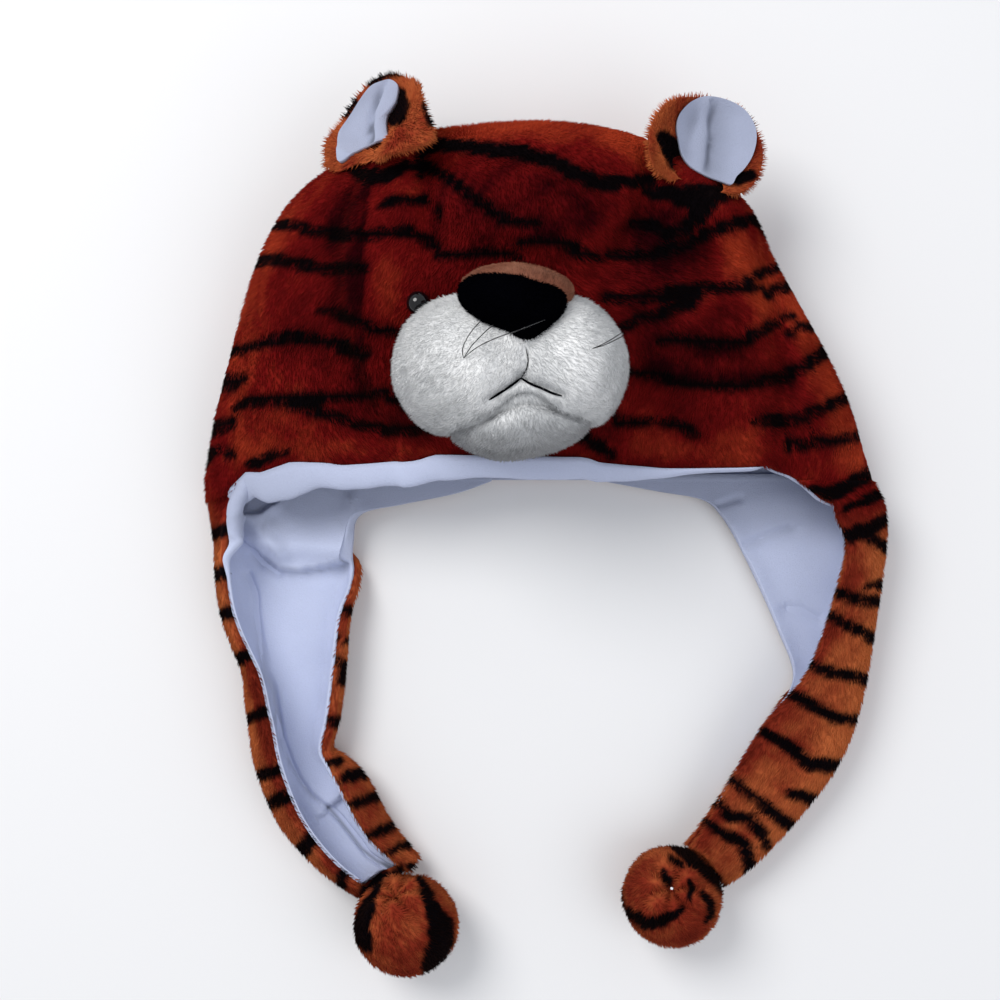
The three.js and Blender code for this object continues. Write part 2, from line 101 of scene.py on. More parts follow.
# Folds of the face: start, middle and end of a curve, its spread to the left and right, and its height
FOLDS = (
    ((18, 142), (16, 124), (12, 104), 30, 30, 7),
    ((-53, 140), (-62, 86), (-44, 34), 5, 17, 8),
    ((-33, 154), (-31, 125), (-26, 103), 6, 6, -6),
    ((67, 150), (60, 122), (42, 98), 6, 14, -6),
    ((120, 114), (126, 70), (130, 8), 8, 5, -5),
    ((-114, 98), (-119, 52), (-120, 8), 4, 8, -3),
    ((48, 96), (62, 62), (56, 22), 12, 16, -4),
)

# Flap sections: x, y, floor, back, back's turn and radius, front, front's turn and radius
FLAP_LEFT = np.array([
    (-62, 8.8, 113, 1, 4, 9, 12, 150, 14),
    (-70.5, 3, 97, 1, 4, 9, 12, 142, 13.5),
    (-83, -2, 73, 1, 5, 9, 12, 132, 13),
    (-94, -7, 51, 2, 12, 9, 13, 122, 12.5),
    (-96, -20, 45, 2, 30, 9, 13, 112, 12),
    (-98.5, -47, 37, 5, 78, 8, 11, 108, 10),
    (-95, -76, 23, 6, 94, 8, 11, 114, 10),
    (-95, -97, 18, 6, 96, 8, 13, 122, 10),
    (-94.5, -120, 11, 5, 96, 8, 13, 126, 10),
    (-82.5, -140, 20, 8, 128, 9, 12, 126, 9),
    (-67, -161, 16, 7, 134, 8, 8, 122, 8),
    (-48, -178, 9, 4, 128, 7, 4, 118, 7),
], float)
FLAP_RIGHT = np.array([
    (101.5, 8.8, 103, 1, 4, 9, 22, 172, 15),
    (115.8, 4, 79.5, 1, 4, 9, 16, 172, 14.7),
    (127.5, 0, 61, 1, 4, 9, 11, 172, 14.5),
    (133, -8, 54, 1, 4, 9, 10, 172, 14),
    (139.5, -25, 45, 1, 4, 9, 7, 172, 13),
    (145.5, -56, 29, 1, 4, 9, 12, 174, 11),
    (147.5, -84, 16, 1, 4, 8, 18.5, 176, 10),
    (139, -108, 20, 1, 4, 8, 28, 178, 9),
    (126, -128, 20, 1, 4, 8, 27, 180, 8.5),
    (106, -155, 16, 1, 4, 7, 20, 180, 7.5),
    (93.5, -168, 12, 1, 4, 6, 15, 180, 6.5),
], float)

# Where the stripes run: rows of plan x, plan y and half width
CROWN_STRIPES = (
    ((-79, 159, 0.9), (-71, 158, 2.1), (-62, 153, 3.8), (-55, 154, 2.8), (-45, 159, 1.9), (-39, 157, 0.9)),
    ((-58, 139, 0.7), (-53, 142, 1.9), (-45, 143, 2.1), (-36, 142, 1.9)),
    ((-30, 139, 1.4), (-29, 135, 0.9)),
    ((-109, 130, 1.2), (-100, 131, 2.1), (-89, 128, 2.4), (-76, 126, 2.8), (-62, 126, 2.6),
     (-51, 128, 2.1), (-43, 127, 2.6), (-36, 124, 2.8), (-30, 120, 1.7)),
    ((-29, 116, 1.9), (-19, 117, 1.9), (-7, 118, 1.9), (3, 116, 1.7), (12, 114, 1.2)),
    ((-119, 111, 1.4), (-112, 114, 2.1), (-104, 114, 2.4), (-94, 112, 2.6), (-82, 110, 2.4),
     (-64, 110, 1.9)),
    ((-86, 90, 0.7), (-78, 89, 2.1), (-71, 86, 2.6), (-66, 84, 1.9), (-57, 81, 1.9), (-47, 79, 1.7)),
    ((-130, 70, 1.9), (-123, 71, 2.1), (-112, 75, 2.1), (-101, 78, 2.4), (-92, 77, 2.6), (-81, 76, 2.4),
     (-73, 72, 3.1), (-65, 70, 2.8)),
    ((-126, 44, 1.2), (-119, 47, 2.4), (-107, 47, 2.4), (-95, 48, 3.1), (-81, 49, 2.1), (-66, 49, 1.9),
     (-57, 51, 2.1), (-51, 48, 2.1), (-44, 45, 1.9)),
    ((-99, 45, 2.4), (-89, 43, 2.8), (-80, 40, 2.4), (-71, 37, 2.1), (-62, 35, 2.1), (-52, 33, 2.1),
     (-42, 33, 2.1), (-33, 33, 1.4)),
    ((-120, 17, 0.9), (-115, 18, 2.4), (-108, 21, 2.1), (-101, 23, 0.9)),
    ((-133, 55, 3.3), (-127, 56, 4.0), (-123, 58, 2.4)),
    ((-138, 33, 2.8), (-133, 35, 3.3), (-128, 36, 2.8)),
    ((-140, 17, 1.2), (-137, 23, 1.9), (-132, 24, 1.9), (-127, 21, 1.7)),
    ((-127, 83, 0.9), (-125, 87, 0.7)),
    ((-38, 154, 1.7), (-38, 162, 1.7), (-37, 167, 2.1), (-31, 169, 2.8), (-20, 168, 2.6), (-9, 167, 2.8),
     (3, 166, 3.1), (14, 164, 3.3), (25, 161, 3.3), (34, 156, 3.3), (43, 152, 3.3), (52, 150, 3.1),
     (62, 151, 2.6), (71, 152, 3.1)),
    ((-35, 159, 2.4), (-26, 154, 2.4), (-17, 147, 2.6), (-7, 140, 2.8), (2, 133, 2.6), (10, 132, 2.4),
     (18, 131, 1.7)),
    ((10, 123, 1.4), (19, 124, 1.7), (27, 124, 2.1), (34, 120, 2.8), (41, 116, 2.6), (48, 114, 1.4)),
    ((69, 146, 1.7), (78, 146, 3.1), (90, 144, 5.2), (101, 145, 4.8), (110, 147, 3.3), (117, 147, 1.4)),
    ((62, 131, 1.2), (71, 131, 2.1), (78, 127, 2.6), (86, 128, 3.1), (94, 135, 3.8), (100, 141, 3.3)),
    ((52, 117, 1.9), (62, 116, 2.4), (71, 116, 2.6), (81, 119, 2.4), (90, 122, 2.4), (100, 127, 2.4),
     (109, 131, 2.6), (119, 133, 2.6), (124, 133, 2.4), (126, 127, 1.4)),
    ((50, 96, 2.1), (62, 95, 1.9), (74, 97, 2.8), (86, 99, 3.6), (95, 100, 3.3), (109, 101, 2.4),
     (124, 101, 0.9)),
    ((59, 82, 2.4), (66, 86, 2.4), (75, 88, 2.6), (86, 92, 3.1), (93, 95, 2.4)),
    ((76, 75, 1.4), (82, 77, 2.4), (89, 76, 2.6), (102, 74, 2.6), (114, 75, 2.4), (121, 78, 2.1),
     (128, 83, 2.1), (139, 88, 1.2)),
    ((62, 61, 1.4), (74, 59, 1.9), (86, 56, 2.1), (100, 54, 1.9), (114, 54, 1.9), (127, 57, 1.9),
     (135, 59, 2.8), (145, 64, 2.8), (155, 71, 3.1)),
    ((56, 38, 2.8), (65, 37, 2.1), (74, 38, 1.4), (82, 37, 2.1), (89, 34, 2.6), (94, 31, 1.4)),
    ((40, 30, 2.8), (48, 25, 3.3), (53, 22, 1.9)),
    ((121, 37, 1.4), (128, 38, 2.4), (138, 38, 2.6), (147, 41, 2.4), (157, 45, 2.4), (166, 50, 2.4)),
    ((138, 26, 2.8), (147, 27, 2.6), (157, 28, 2.1), (171, 31, 2.1)),
    ((118, 105, 2.1), (124, 108, 2.1), (133, 111, 1.9)),
    ((127, 98, 1.9), (134, 101, 2.6), (141, 102, 1.7)),
    ((137, 79, 1.2), (142, 82, 1.9), (151, 82, 1.7)),
)
FLAP_STRIPES = (
    ((148, 5, 1.4), (157, 3, 2.8), (166, 7, 3.3), (178, 14, 2.8)),
    ((164, -4, 0.9), (171, -1, 2.1), (182, 3, 2.1)),
    ((157, -13, 1.4), (166, -17, 3.3), (176, -13, 2.6), (186, -8, 2.4)),
    ((173, -16, 2.4), (186, -24, 2.1)),
    ((175, -40, 0.9), (180, -40, 1.7), (185, -40, 1.7)),
    ((157, -43, 1.9), (169, -47, 2.4), (184, -49, 2.1)),
    ((154, -53, 1.7), (164, -59, 2.1), (172, -63, 2.4), (181, -68, 2.1)),
    ((142, -76, 2.4), (154, -81, 2.1), (164, -83, 2.1), (177, -86, 2.4)),
    ((135, -91, 2.1), (148, -97, 2.4), (159, -103, 2.4), (173, -105, 1.9)),
    ((122, -109, 1.7), (133, -114, 2.6), (141, -120, 2.8), (148, -126, 2.6), (164, -126, 2.6)),
    ((108, -131, 2.1), (119, -140, 1.9), (128, -146, 2.4), (143, -159, 2.4)),
    ((137, -139, 1.4), (145, -141, 2.1), (152, -144, 2.4)),
    ((103, -143, 2.1), (109, -150, 2.4), (119, -151, 2.4), (124, -158, 2.4), (127, -164, 1.9)),
    ((96, -152, 1.2), (107, -159, 2.1), (115, -162, 2.6), (118, -169, 2.6), (118, -177, 2.1)),
    ((84, -165, 2.4), (93, -174, 3.1), (100, -180, 3.3), (108, -187, 2.8)),
    ((-142, -16, 2.6), (-136, -16, 2.6), (-130, -14, 2.1), (-121, -12, 0.7)),
    ((-141, -36, 2.6), (-132, -35, 2.8), (-124, -34, 2.6), (-113, -32, 0.7)),
    ((-134, -55, 2.4), (-128, -53, 2.8), (-120, -51, 2.6), (-110, -49, 0.7)),
    ((-130, -77, 2.4), (-123, -75, 2.6), (-115, -72, 2.8), (-106, -69, 0.7)),
    ((-124, -107, 1.2), (-116, -102, 2.1), (-107, -100, 2.4), (-97, -98, 0.7)),
    ((-118, -133, 1.9), (-109, -129, 2.4), (-102, -127, 1.9), (-93, -124, 0.7)),
    ((-114, -146, 2.1), (-104, -142, 3.1), (-96, -139, 2.4), (-88, -135, 0.7)),
    ((-97, -172, 2.8), (-92, -164, 3.6), (-86, -156, 2.6), (-81, -148, 0.7)),
    ((-77, -187, 1.9), (-74, -178, 2.4), (-70, -170, 1.7), (-67, -163, 0.7)),
    ((-64, -186, 2.4), (-57, -180, 3.3), (-49, -179, 2.4), (-47, -174, 0.9)),
    ((-82, -53, 0.5), (-76, -52, 1.7), (-66, -53, 1.9)),
    ((-82, -66, 0.5), (-76, -66, 1.2), (-68, -67, 1.2)),
    ((-83, -76, 0.5), (-77, -76, 1.4), (-73, -80, 2.8), (-75, -86, 1.7)),
    ((-89, -103, 0.5), (-83, -104, 1.4), (-78, -105, 2.4), (-73, -108, 1.9)),
    ((-88, -126, 0.5), (-83, -125, 1.4), (-76, -124, 1.2)),
    ((-76, -133, 0.9), (-71, -131, 2.8), (-67, -130, 2.4), (-61, -129, 1.9)),
    ((-74, -146, 0.7), (-68, -144, 2.1), (-63, -142, 2.1), (-54, -140, 1.7)),
    ((-65, -160, 0.7), (-58, -158, 1.9), (-54, -156, 2.1), (-46, -152, 1.4)),
    ((-56, -169, 0.5), (-50, -166, 1.2), (-46, -164, 1.7), (-39, -162, 1.2)),
    ((-44, -174, 0.7), (-39, -175, 1.4), (-35, -178, 2.1), (-28, -181, 1.4)),
)
POMPOM_LEFT_STRIPES = (
    ((-38, -180, 1.2), (-34, -189, 2.4), (-31, -196, 3.6), (-28, -202, 5.2), (-28, -208, 5.8), (-30, -215, 5.0),
     (-33, -221, 3.8), (-34, -226, 2.4)),
    ((-57, -181, 1.0), (-61, -189, 1.8), (-64, -196, 3.0), (-66, -203, 4.0), (-65, -210, 3.2), (-62, -214, 1.2)),
)
POMPOM_RIGHT_STRIPES = (
    ((61, -195, 0.7), (64, -198, 1.9), (70, -201, 2.8), (77, -200, 2.5), (83, -197, 1.6), (86, -194, 0.6)),
    ((78, -177, 0.9), (79.3, -180, 1.7), (79.8, -182.5, 0.9)),
    ((81, -170, 0.6), (87, -174, 0.6)),
    ((90, -181, 0.7), (91.2, -185, 1.1), (90, -189, 0.7)),
    ((96, -187, 0.9), (100, -192, 1.3), (100, -197, 1.1), (98, -200, 0.4)),
    ((101, -207, 0.6), (97, -211, 0.8), (93, -214, 0.5)),
    ((66, -165, 0.5), (74, -163, 0.8), (83, -162, 1.2), (88, -165, 1.6)),
    ((57, -185, 0.5), (58, -193, 0.8), (61, -198, 1.1)),
    ((84, -165, 2.0), (93, -172, 2.6), (101, -179, 2.8), (109, -187, 2.4)),
)

# Painted light and shade of the pile and its folds, where it catches the light or turns from it: how much, its reach
# to the right and to the left of a line of plan places, and the line
CROWN_PAINTED_LIGHT = (
    (0.11, 6, 7, ((-76, 159), (-95, 140), (-108, 125), (-116, 107), (-120, 90), (-123, 66), (-125, 43), (-127, 21))),
    (0.10, 6, 22, ((-76, 159), (-95, 140), (-108, 125), (-116, 107), (-120, 90), (-123, 66), (-125, 43), (-127, 21))),
    (-0.37, 14, 0.9, ((-55, 166), (-62, 147), (-64, 131), (-65, 119), (-65, 104), (-66, 86), (-65, 66), (-61, 55))),
    (0.13, 8, 1, ((-38, 177), (-38, 162), (-37, 147), (-34, 135), (-30, 121))),
    (-0.13, 1, 14, ((-38, 177), (-38, 162), (-37, 147), (-34, 135), (-30, 121))),
    (0.34, 9, 6, ((-48, 177), (-33, 181), (-10, 184), (19, 184), (43, 181), (66, 172))),
    (0.05, 22, 6, ((-48, 177), (-33, 181), (-10, 184), (19, 184), (43, 181), (66, 172))),
    (0.11, 9, 9, ((-113, 59), (-90, 55), (-71, 57))),
    (-0.18, 12, 12, ((-81, 135), (-78, 114), (-78, 95), (-81, 76))),
    (-0.19, 16, 16, ((-10, 147), (10, 157), (28, 162))),
    (-0.16, 12, 12, ((0, 124), (19, 126))),
    (-0.46, 9, 9, ((38, 142), (43, 135))),
    (0.14, 8, 8, ((36, 166), (48, 166), (66, 166))),
    (-0.34, 12, 12, ((71, 119), (90, 114))),
    (0.59, 9, 9, ((112, 121), (119, 107), (124, 95))),
    (0.09, 0.9, 10, ((103, 125), (99, 116), (97, 105), (102, 95))),
    (0.45, 10, 6, ((142, 95), (148, 76), (157, 52), (164, 33), (169, 17))),
    (-0.10, 1.4, 1.4, ((134, 95), (137, 76), (139, 57), (140, 33))),
    (-0.16, 9, 9, ((76, 81), (95, 81), (114, 78))),
    (0.23, 8, 8, ((66, 25), (95, 24), (133, 24))),
    (0.22, 7, 7, ((-119, 24), (-81, 25), (-38, 25))),
    (-0.05, 8, 8, ((-62, 48), (-52, 33))),
    (-0.13, 8, 8, ((48, 107), (62, 104))),
    (-0.10, 7, 7, ((66, 71), (71, 66))),
    (-0.24, 11, 11, ((76, 135), (95, 126))),
    (-0.05, 9, 9, ((-21, 135), (-14, 124))),
    (0.16, 7, 7, ((-28, 171), (0, 173), (28, 173))),
    (-0.05, 8, 8, ((-74, 150), (-67, 142))),
    (0.14, 8, 8, ((-55, 112), (-50, 90))),
    (-0.13, 7, 7, ((126, 43), (132, 28))),
    (0.13, 7, 12, ((-59, 126), (-56, 113), (-57, 95))),
    (0.06, 5, 5, ((-70, 135), (-70, 114), (-70, 95), (-71, 76))),
    (-0.06, 6, 6, ((-33, 159), (-24, 150), (-12, 145))),
    (0.31, 6, 6, ((109, 81), (119, 81))),
    (-0.39, 5, 5, ((71, 61), (95, 58), (138, 58))),
    (-0.26, 5, 5, ((90, 70), (112, 70))),
    (-0.15, 6, 6, ((21, 127), (38, 128))),
    (0.12, 6, 6, ((-113, 43), (-81, 36))),
    (-0.13, 6, 6, ((-48, 36), (-33, 28))),
)
FLAP_PAINTED_LIGHT = (
    (-0.36, 5, 5, ((-127, -28), (-121, -57), (-115, -90), (-107, -124), (-95, -150), (-78, -172))),
    (0.3, 7, 7, ((-137, -28), (-132, -57), (-126, -90), (-116, -128), (-103, -158), (-84, -180))),
    (0.34, 10, 10, ((181, -24), (181, -60), (174, -90), (158, -122), (134, -154), (114, -180))),
    (0.18, 12, 12, ((160, -80), (146, -105), (124, -135), (104, -160))),
    (-0.3, 6, 6, ((154, -62), (148, -74))),
    (-0.34, 6, 6, ((136, -90), (130, -100))),
    (-0.4, 6, 6, ((124, -112), (116, -124))),
    (-0.3, 5, 5, ((104, -150), (98, -160))),
)


def smooth(value: Array, low: float, high: float) -> Array:
    """A soft step from 0 at low to 1 at high.

    Args:
        value: the values to step.
        low: where the step starts.
        high: where the step ends.

    Returns:
        The stepped values.
    """
    t = np.clip((np.asarray(value, float) - low) / (high - low), 0, 1)
    return t * t * (3 - 2 * t)


def between(a: Array, b: Array, c: Array, d: Array, f: Array) -> Array:
    """The place a share f of the way from b to c, on a smooth curve past a, b, c and d."""
    return b + 0.5 * f * (c - a + f * (2 * a - 5 * b + 4 * c - d + f * (3 * (b - c) + d - a)))


def column(values: Array, t: Array) -> Array:
    """Smooth values between the rows of a table.

    Args:
        values: one value, or one row of values, for each row of the table.
        t: row numbers, which may lie between rows.

    Returns:
        The values at those row numbers.
    """
    last = len(values) - 1
    i = np.minimum(np.floor(t).astype(int), last - 1)
    f = np.asarray(t - i)
    f = f.reshape(f.shape + (1,) * (values.ndim - 1))
    return between(*(values[np.clip(i + k, 0, last)] for k in (-1, 0, 1, 2)), f)


def power(value: Array, exponent: float) -> Array:
    """The signed power of a value."""
    return np.sign(value) * np.abs(value) ** exponent


def shrink(half: Array, wall: Array) -> Array:
    """A half size less a wall, which thins out where the half size itself runs out."""
    return half - (wall * half) / (half + np.abs(wall) + 1e-6)


def unit(vectors: Array) -> Array:
    """The vectors at length 1."""
    return vectors / np.maximum(np.linalg.norm(vectors, axis=-1, keepdims=True), 1e-9)


def plan(points: Array) -> Array:
    """Where the camera sees points on the floor's plane, as x and y."""
    return points[:, :2] / (1 - points[:, 2:3] / EYE_HEIGHT)


def bend(start: tuple, middle: tuple, end: tuple, count: int) -> Array:
    """Points of a parabola that runs from start through middle to end."""
    s, m, e = (np.array(p, float) for p in (start, middle, end))
    control = 2 * m - (s + e) / 2
    t = np.linspace(0, 1, count)[:, None]
    return (1 - t) ** 2 * s + 2 * t * (1 - t) * control + t**2 * e


def ripple(points: Array, size: float, seed: int) -> Array:
    """Smooth, even noise.

    Args:
        points: the places.
        size: about how far apart its bumps lie.
        seed: which noise it is.

    Returns:
        Values that mostly lie between -1 and 1.
    """
    rng = np.random.default_rng(seed)
    waves = unit(rng.normal(size=(14, points.shape[1]))) * rng.uniform(0.6, 1.5, (14, 1))
    phases = rng.uniform(0, 2 * np.pi, 14)
    return np.sin(points @ waves.T * (2 * np.pi / size / 1.4) + phases).sum(axis=1) / 3.2


def traced(points: Array) -> Callable[[Array], Array]:
    """The outline through points, as how far it reaches from their origin.

    Args:
        points: places round the origin, in order.

    Returns:
        A function that gives the reach at angles.
    """
    count = len(points)
    t = np.linspace(0, count, count * 16, endpoint=False)
    i = np.floor(t).astype(int)
    dense = between(*(points[(i + k) % count] for k in (-1, 0, 1, 2)), (t - i)[:, None])
    angle, reach = np.arctan2(dense[:, 1], dense[:, 0]), np.hypot(dense[:, 0], dense[:, 1])
    order = np.argsort(angle)
    return lambda where: np.interp(where, angle[order], reach[order], period=2 * np.pi)


def centre_of(points: Array) -> Array:
    """The middle of the box round points."""
    return (points.min(axis=0) + points.max(axis=0)) / 2


def seen(line: tuple) -> Array:
    """A line of the picture as plan places."""
    return (np.array(line, float) - PICTURE_MIDDLE) * PICTURE_POINT


def beside(points: Array, a: Array, b: Array) -> tuple[Array, Array, Array]:
    """How points lie beside a straight piece of a line.

    Args:
        points: plan places.
        a: where the piece starts.
        b: where it ends.

    Returns:
        How far along it each point lies, from 0 to 1, how far off it, and whether on its left.
    """
    along = b - a
    t = np.clip(((points - a) @ along) / max(along @ along, 1e-9), 0, 1)
    off = points - a - t[:, None] * along
    return t, np.linalg.norm(off, axis=1), along[0] * off[:, 1] - along[1] * off[:, 0] > 0


def off_line(points: Array, line: Array) -> tuple[Array, Array]:
    """How far points lie off a line of plan places, and whether on its left."""
    _, gaps, lefts = map(np.array, zip(*(beside(points, a, b) for a, b in zip(line[:-1], line[1:]))))
    nearest = gaps.argmin(axis=0), np.arange(len(points))
    return gaps[nearest], lefts[nearest]


def band(line: tuple, half: float) -> Stripe:
    """A line of the picture as a stripe of one half width."""
    return tuple((x, y, half) for x, y in seen(line))


def near_lines(points: Array, lines: Sequence[Stripe], soft: float) -> Array:
    """How deep points lie in a set of tapered lines.

    Args:
        points: plan places.
        lines: each a row of x, y and half width.
        soft: how wide the edge of a line is.

    Returns:
        1 inside a line, falling to 0 past its edge.
    """
    found = np.zeros(len(points))
    for line in lines:
        rows = np.array(line, float)
        reach = rows[:, 2].max() + soft
        low, high = rows[:, :2].min(axis=0) - reach, rows[:, :2].max(axis=0) + reach
        inside = np.flatnonzero(((points > low) & (points < high)).all(axis=1))
        if not len(inside):
            continue
        spot = points[inside]
        best = np.full(len(spot), -1e9)
        for a, b in zip(rows[:-1], rows[1:]):
            t, gap, _ = beside(spot, a[:2], b[:2])
            best = np.maximum(best, a[2] + (b[2] - a[2]) * t - gap)
        found[inside] = np.maximum(found[inside], smooth(best, -soft, soft))
    return found


class Slot(Enum):
    """The record's material slots."""

    PLUSH = "plush"
    FLEECE = "fleece"
    MUZZLE = "muzzle_plush"
    BLACK = "black_plush"
    TAN = "tan_plush"
    EYE = "eye_plastic"


@dataclass(frozen=True)
class Coat:
    """The colours of a pile, from painted shade, where it is seen end on, to painted light, where it lies in the
    light.
    """

    deep: Colour
    mid: Colour
    bright: Colour
    stripe: Colour = (0.006, 0.004, 0.006)

    def tint(self, tone: Array, stripe: Array) -> Array:
        """Colours for tones from 0, deep, to 1, bright, with a stripe laid over them.

        Args:
            tone: the tone of each place.
            stripe: how far each place lies in a stripe.

        Returns:
            One colour with alpha for each place.
        """
        t = np.clip(tone, 0, 1)[:, None]
        deep, mid, bright = (np.array(c) for c in (self.deep, self.mid, self.bright))
        low = deep + (mid - deep) * np.clip(t * 2, 0, 1)
        colour = low + (bright - mid) * np.clip(t * 2 - 1, 0, 1)
        s = stripe[:, None]
        # The stripes take the painted light and shade of the tone too.
        dark = np.array(self.stripe) * (0.7 + 0.9 * t)
        return np.hstack([colour * (1 - s) + dark * s, np.ones((len(t), 1))])


class Nodes:
    """A node tree in the making."""

    def __init__(self, tree: bpy.types.NodeTree) -> None:
        """Starts from a tree."""
        self.tree = tree

    def fill(self, node: bpy.types.Node, links: dict) -> bpy.types.Node:
        """Sets inputs of a node by name or number, each to an output socket or a plain value."""
        for key, value in links.items():
            socket = node.inputs[key]
            if isinstance(value, bpy.types.NodeSocket):
                self.tree.links.new(value, socket)
            else:
                socket.default_value = value
        return node

    def node(self, kind: str, links: dict | None = None, **settings: object) -> bpy.types.Node:
        """Adds a node.

        Args:
            kind: the node's type.
            links: its inputs, as for fill.
            settings: its options.

        Returns:
            The node.
        """
        made = self.tree.nodes.new(kind)
        for key, value in settings.items():
            setattr(made, key, value)
        return self.fill(made, links or {})


def blank(name: str) -> tuple[Material, Nodes, bpy.types.Node]:
    """A new material, its nodes and its shader."""
    made = bpy.data.materials.new(name)
    made.use_nodes = True
    return made, Nodes(made.node_tree), made.node_tree.nodes["Principled BSDF"]


@dataclass(frozen=True)
class ClothFinish:
    """A cloth whose colour comes from its tint attribute.

    Attributes:
        sheen: how strongly the fuzz catches grazing light.
        bump: the height of its fine bumps in metres.
        grain: how many bumps there are in a metre.
        mottle: how much its colour varies.
        gloss: how strongly its fibres shine.
    """

    name: str
    rough: float
    sheen: float
    sheen_rough: float
    sheen_tint: Colour
    bump: float
    grain: float
    mottle: float
    gloss: float = 0.05

    def material(self) -> Material:
        """The finish as a material."""
        made, t, shader = blank(self.name)
        place = t.node("ShaderNodeTexCoord").outputs["Object"]
        links = {"Vector": place, "Scale": self.grain, "Detail": 4, "Roughness": 0.7}
        fine = t.node("ShaderNodeTexNoise", links).outputs["Fac"]
        bump = t.node("ShaderNodeBump", {"Strength": 1, "Distance": self.bump, "Height": fine})
        mottle = t.node("ShaderNodeMapRange", {"Value": fine, "From Min": 0.3, "From Max": 0.7,
                                               "To Min": 1 - self.mottle, "To Max": 1 + self.mottle})
        tint = t.node("ShaderNodeAttribute", attribute_name="tint").outputs["Color"]
        shade = t.node("ShaderNodeVectorMath", {0: tint, "Scale": mottle.outputs["Result"]}, operation="SCALE")
        t.fill(shader, {
            "Base Color": shade.outputs["Vector"], "Roughness": self.rough, "Specular IOR Level": self.gloss,
            "Sheen Weight": self.sheen, "Sheen Roughness": self.sheen_rough,
            "Sheen Tint": (*self.sheen_tint, 1), "Normal": bump.outputs["Normal"],
        })
        return made


@dataclass(frozen=True)
class GlossFinish:
    """A smooth hard finish of one colour."""

    name: str
    colour: Colour
    rough: float
    coat: float = 0.0

    def material(self) -> Material:
        """The finish as a material."""
        made, t, shader = blank(self.name)
        place = t.node("ShaderNodeTexCoord").outputs["Object"]
        wear = t.node("ShaderNodeTexNoise", {"Vector": place, "Scale": 900}).outputs["Fac"]
        links = {"Value": wear, "To Min": self.rough * 0.7, "To Max": self.rough * 1.3}
        rough = t.node("ShaderNodeMapRange", links).outputs["Result"]
        t.fill(shader, {"Base Color": (*self.colour, 1), "Coat Weight": self.coat, "Coat Roughness": 0.05,
                        "Roughness": rough})
        return made


@dataclass
class Skin:
    """A surface in millimetres, before it is made a mesh.

    Attributes:
        points: its points.
        faces: its faces, as rows of point numbers.
        uv: the places of each face's corners on the cloth.
        pile: how thickly pile stands at each point.
        comb: which way the pile leans at each point.
    """

    points: Array
    faces: list[tuple[int, ...]]
    uv: list[tuple]
    pile: Array
    comb: Array

    def turned_out(self) -> "Skin":
        """The same surface with its faces outwards."""
        volume = 0.0
        for face in self.faces:
            corners = self.points[list(face)]
            for k in range(1, len(face) - 1):
                volume += np.dot(corners[0], np.cross(corners[k], corners[k + 1]))
        if volume < 0:
            self.faces = [face[::-1] for face in self.faces]
            self.uv = [corners[::-1] for corners in self.uv]
        return self

    def made(self, name: str) -> Object:
        """A mesh object of the surface."""
        made = woven(name, self.points, [], self.faces)
        mesh = made.data
        mesh.shade_smooth()
        cloth_map(mesh).foreach_set("uv", np.concatenate(self.uv).astype(np.float32).ravel())
        stored(mesh, "pile", "FLOAT", self.pile)
        stored(mesh, "comb", "FLOAT_VECTOR", unit(self.comb))
        return made


class Caps(Enum):
    """How the ends of a surface of rings are closed."""

    FAN = "over the middle of each end"
    STRIP = "from the first half of each end to its second half, which runs back"


def ring_skin(rings: Array, pile: Array | None = None, comb: Array | None = None, caps: Caps = Caps.FAN) -> Skin:
    """A closed surface over rings of points.

    Args:
        rings: the points of each ring.
        pile: how thickly pile stands at each of them, or None for a bare surface.
        comb: which way the pile leans there.
        caps: how its ends are closed.

    Returns:
        The surface, with its faces outwards.
    """
    count, around = rings.shape[:2]
    pile = np.zeros((count, around)) if pile is None else pile
    comb = np.ones(rings.shape) if comb is None else comb
    points, fluff, lean = list(rings.reshape(-1, 3)), list(pile.ravel()), list(comb.reshape(-1, 3))
    faces, uv = [], []
    for i in range(count - 1):
        for j in range(around):
            a, b = i * around + j, i * around + (j + 1) % around
            faces.append((a, b, b + around, a + around))
            u0, u1, v0, v1 = j / around, (j + 1) / around, i / (count - 1), (i + 1) / (count - 1)
            uv.append(((u0, v0), (u1, v0), (u1, v1), (u0, v1)))
    for start, end in ((0, 0.0), ((count - 1) * around, 1.0)):
        back = start == 0
        if caps is Caps.FAN:
            middle = len(points)
            points.append(np.mean(points[start:start + around], axis=0))
            fluff.append(np.mean(fluff[start:start + around]))
            lean.append(np.mean(lean[start:start + around], axis=0) + 1e-3)
            for j in range(around):
                a, b = start + j, start + (j + 1) % around
                faces.append((b, a, middle) if back else (a, b, middle))
                uv.append(((j / around, end),) * 3)
        else:
            for j in range(around // 2 - 1):
                a, b, c, d = start + j, start + j + 1, start + around - 2 - j, start + around - 1 - j
                faces.append((a, d, c, b) if back else (a, b, c, d))
                uv.append(((j / around, end),) * 4)
    return Skin(np.array(points), faces, uv, np.array(fluff), np.array(lean)).turned_out()


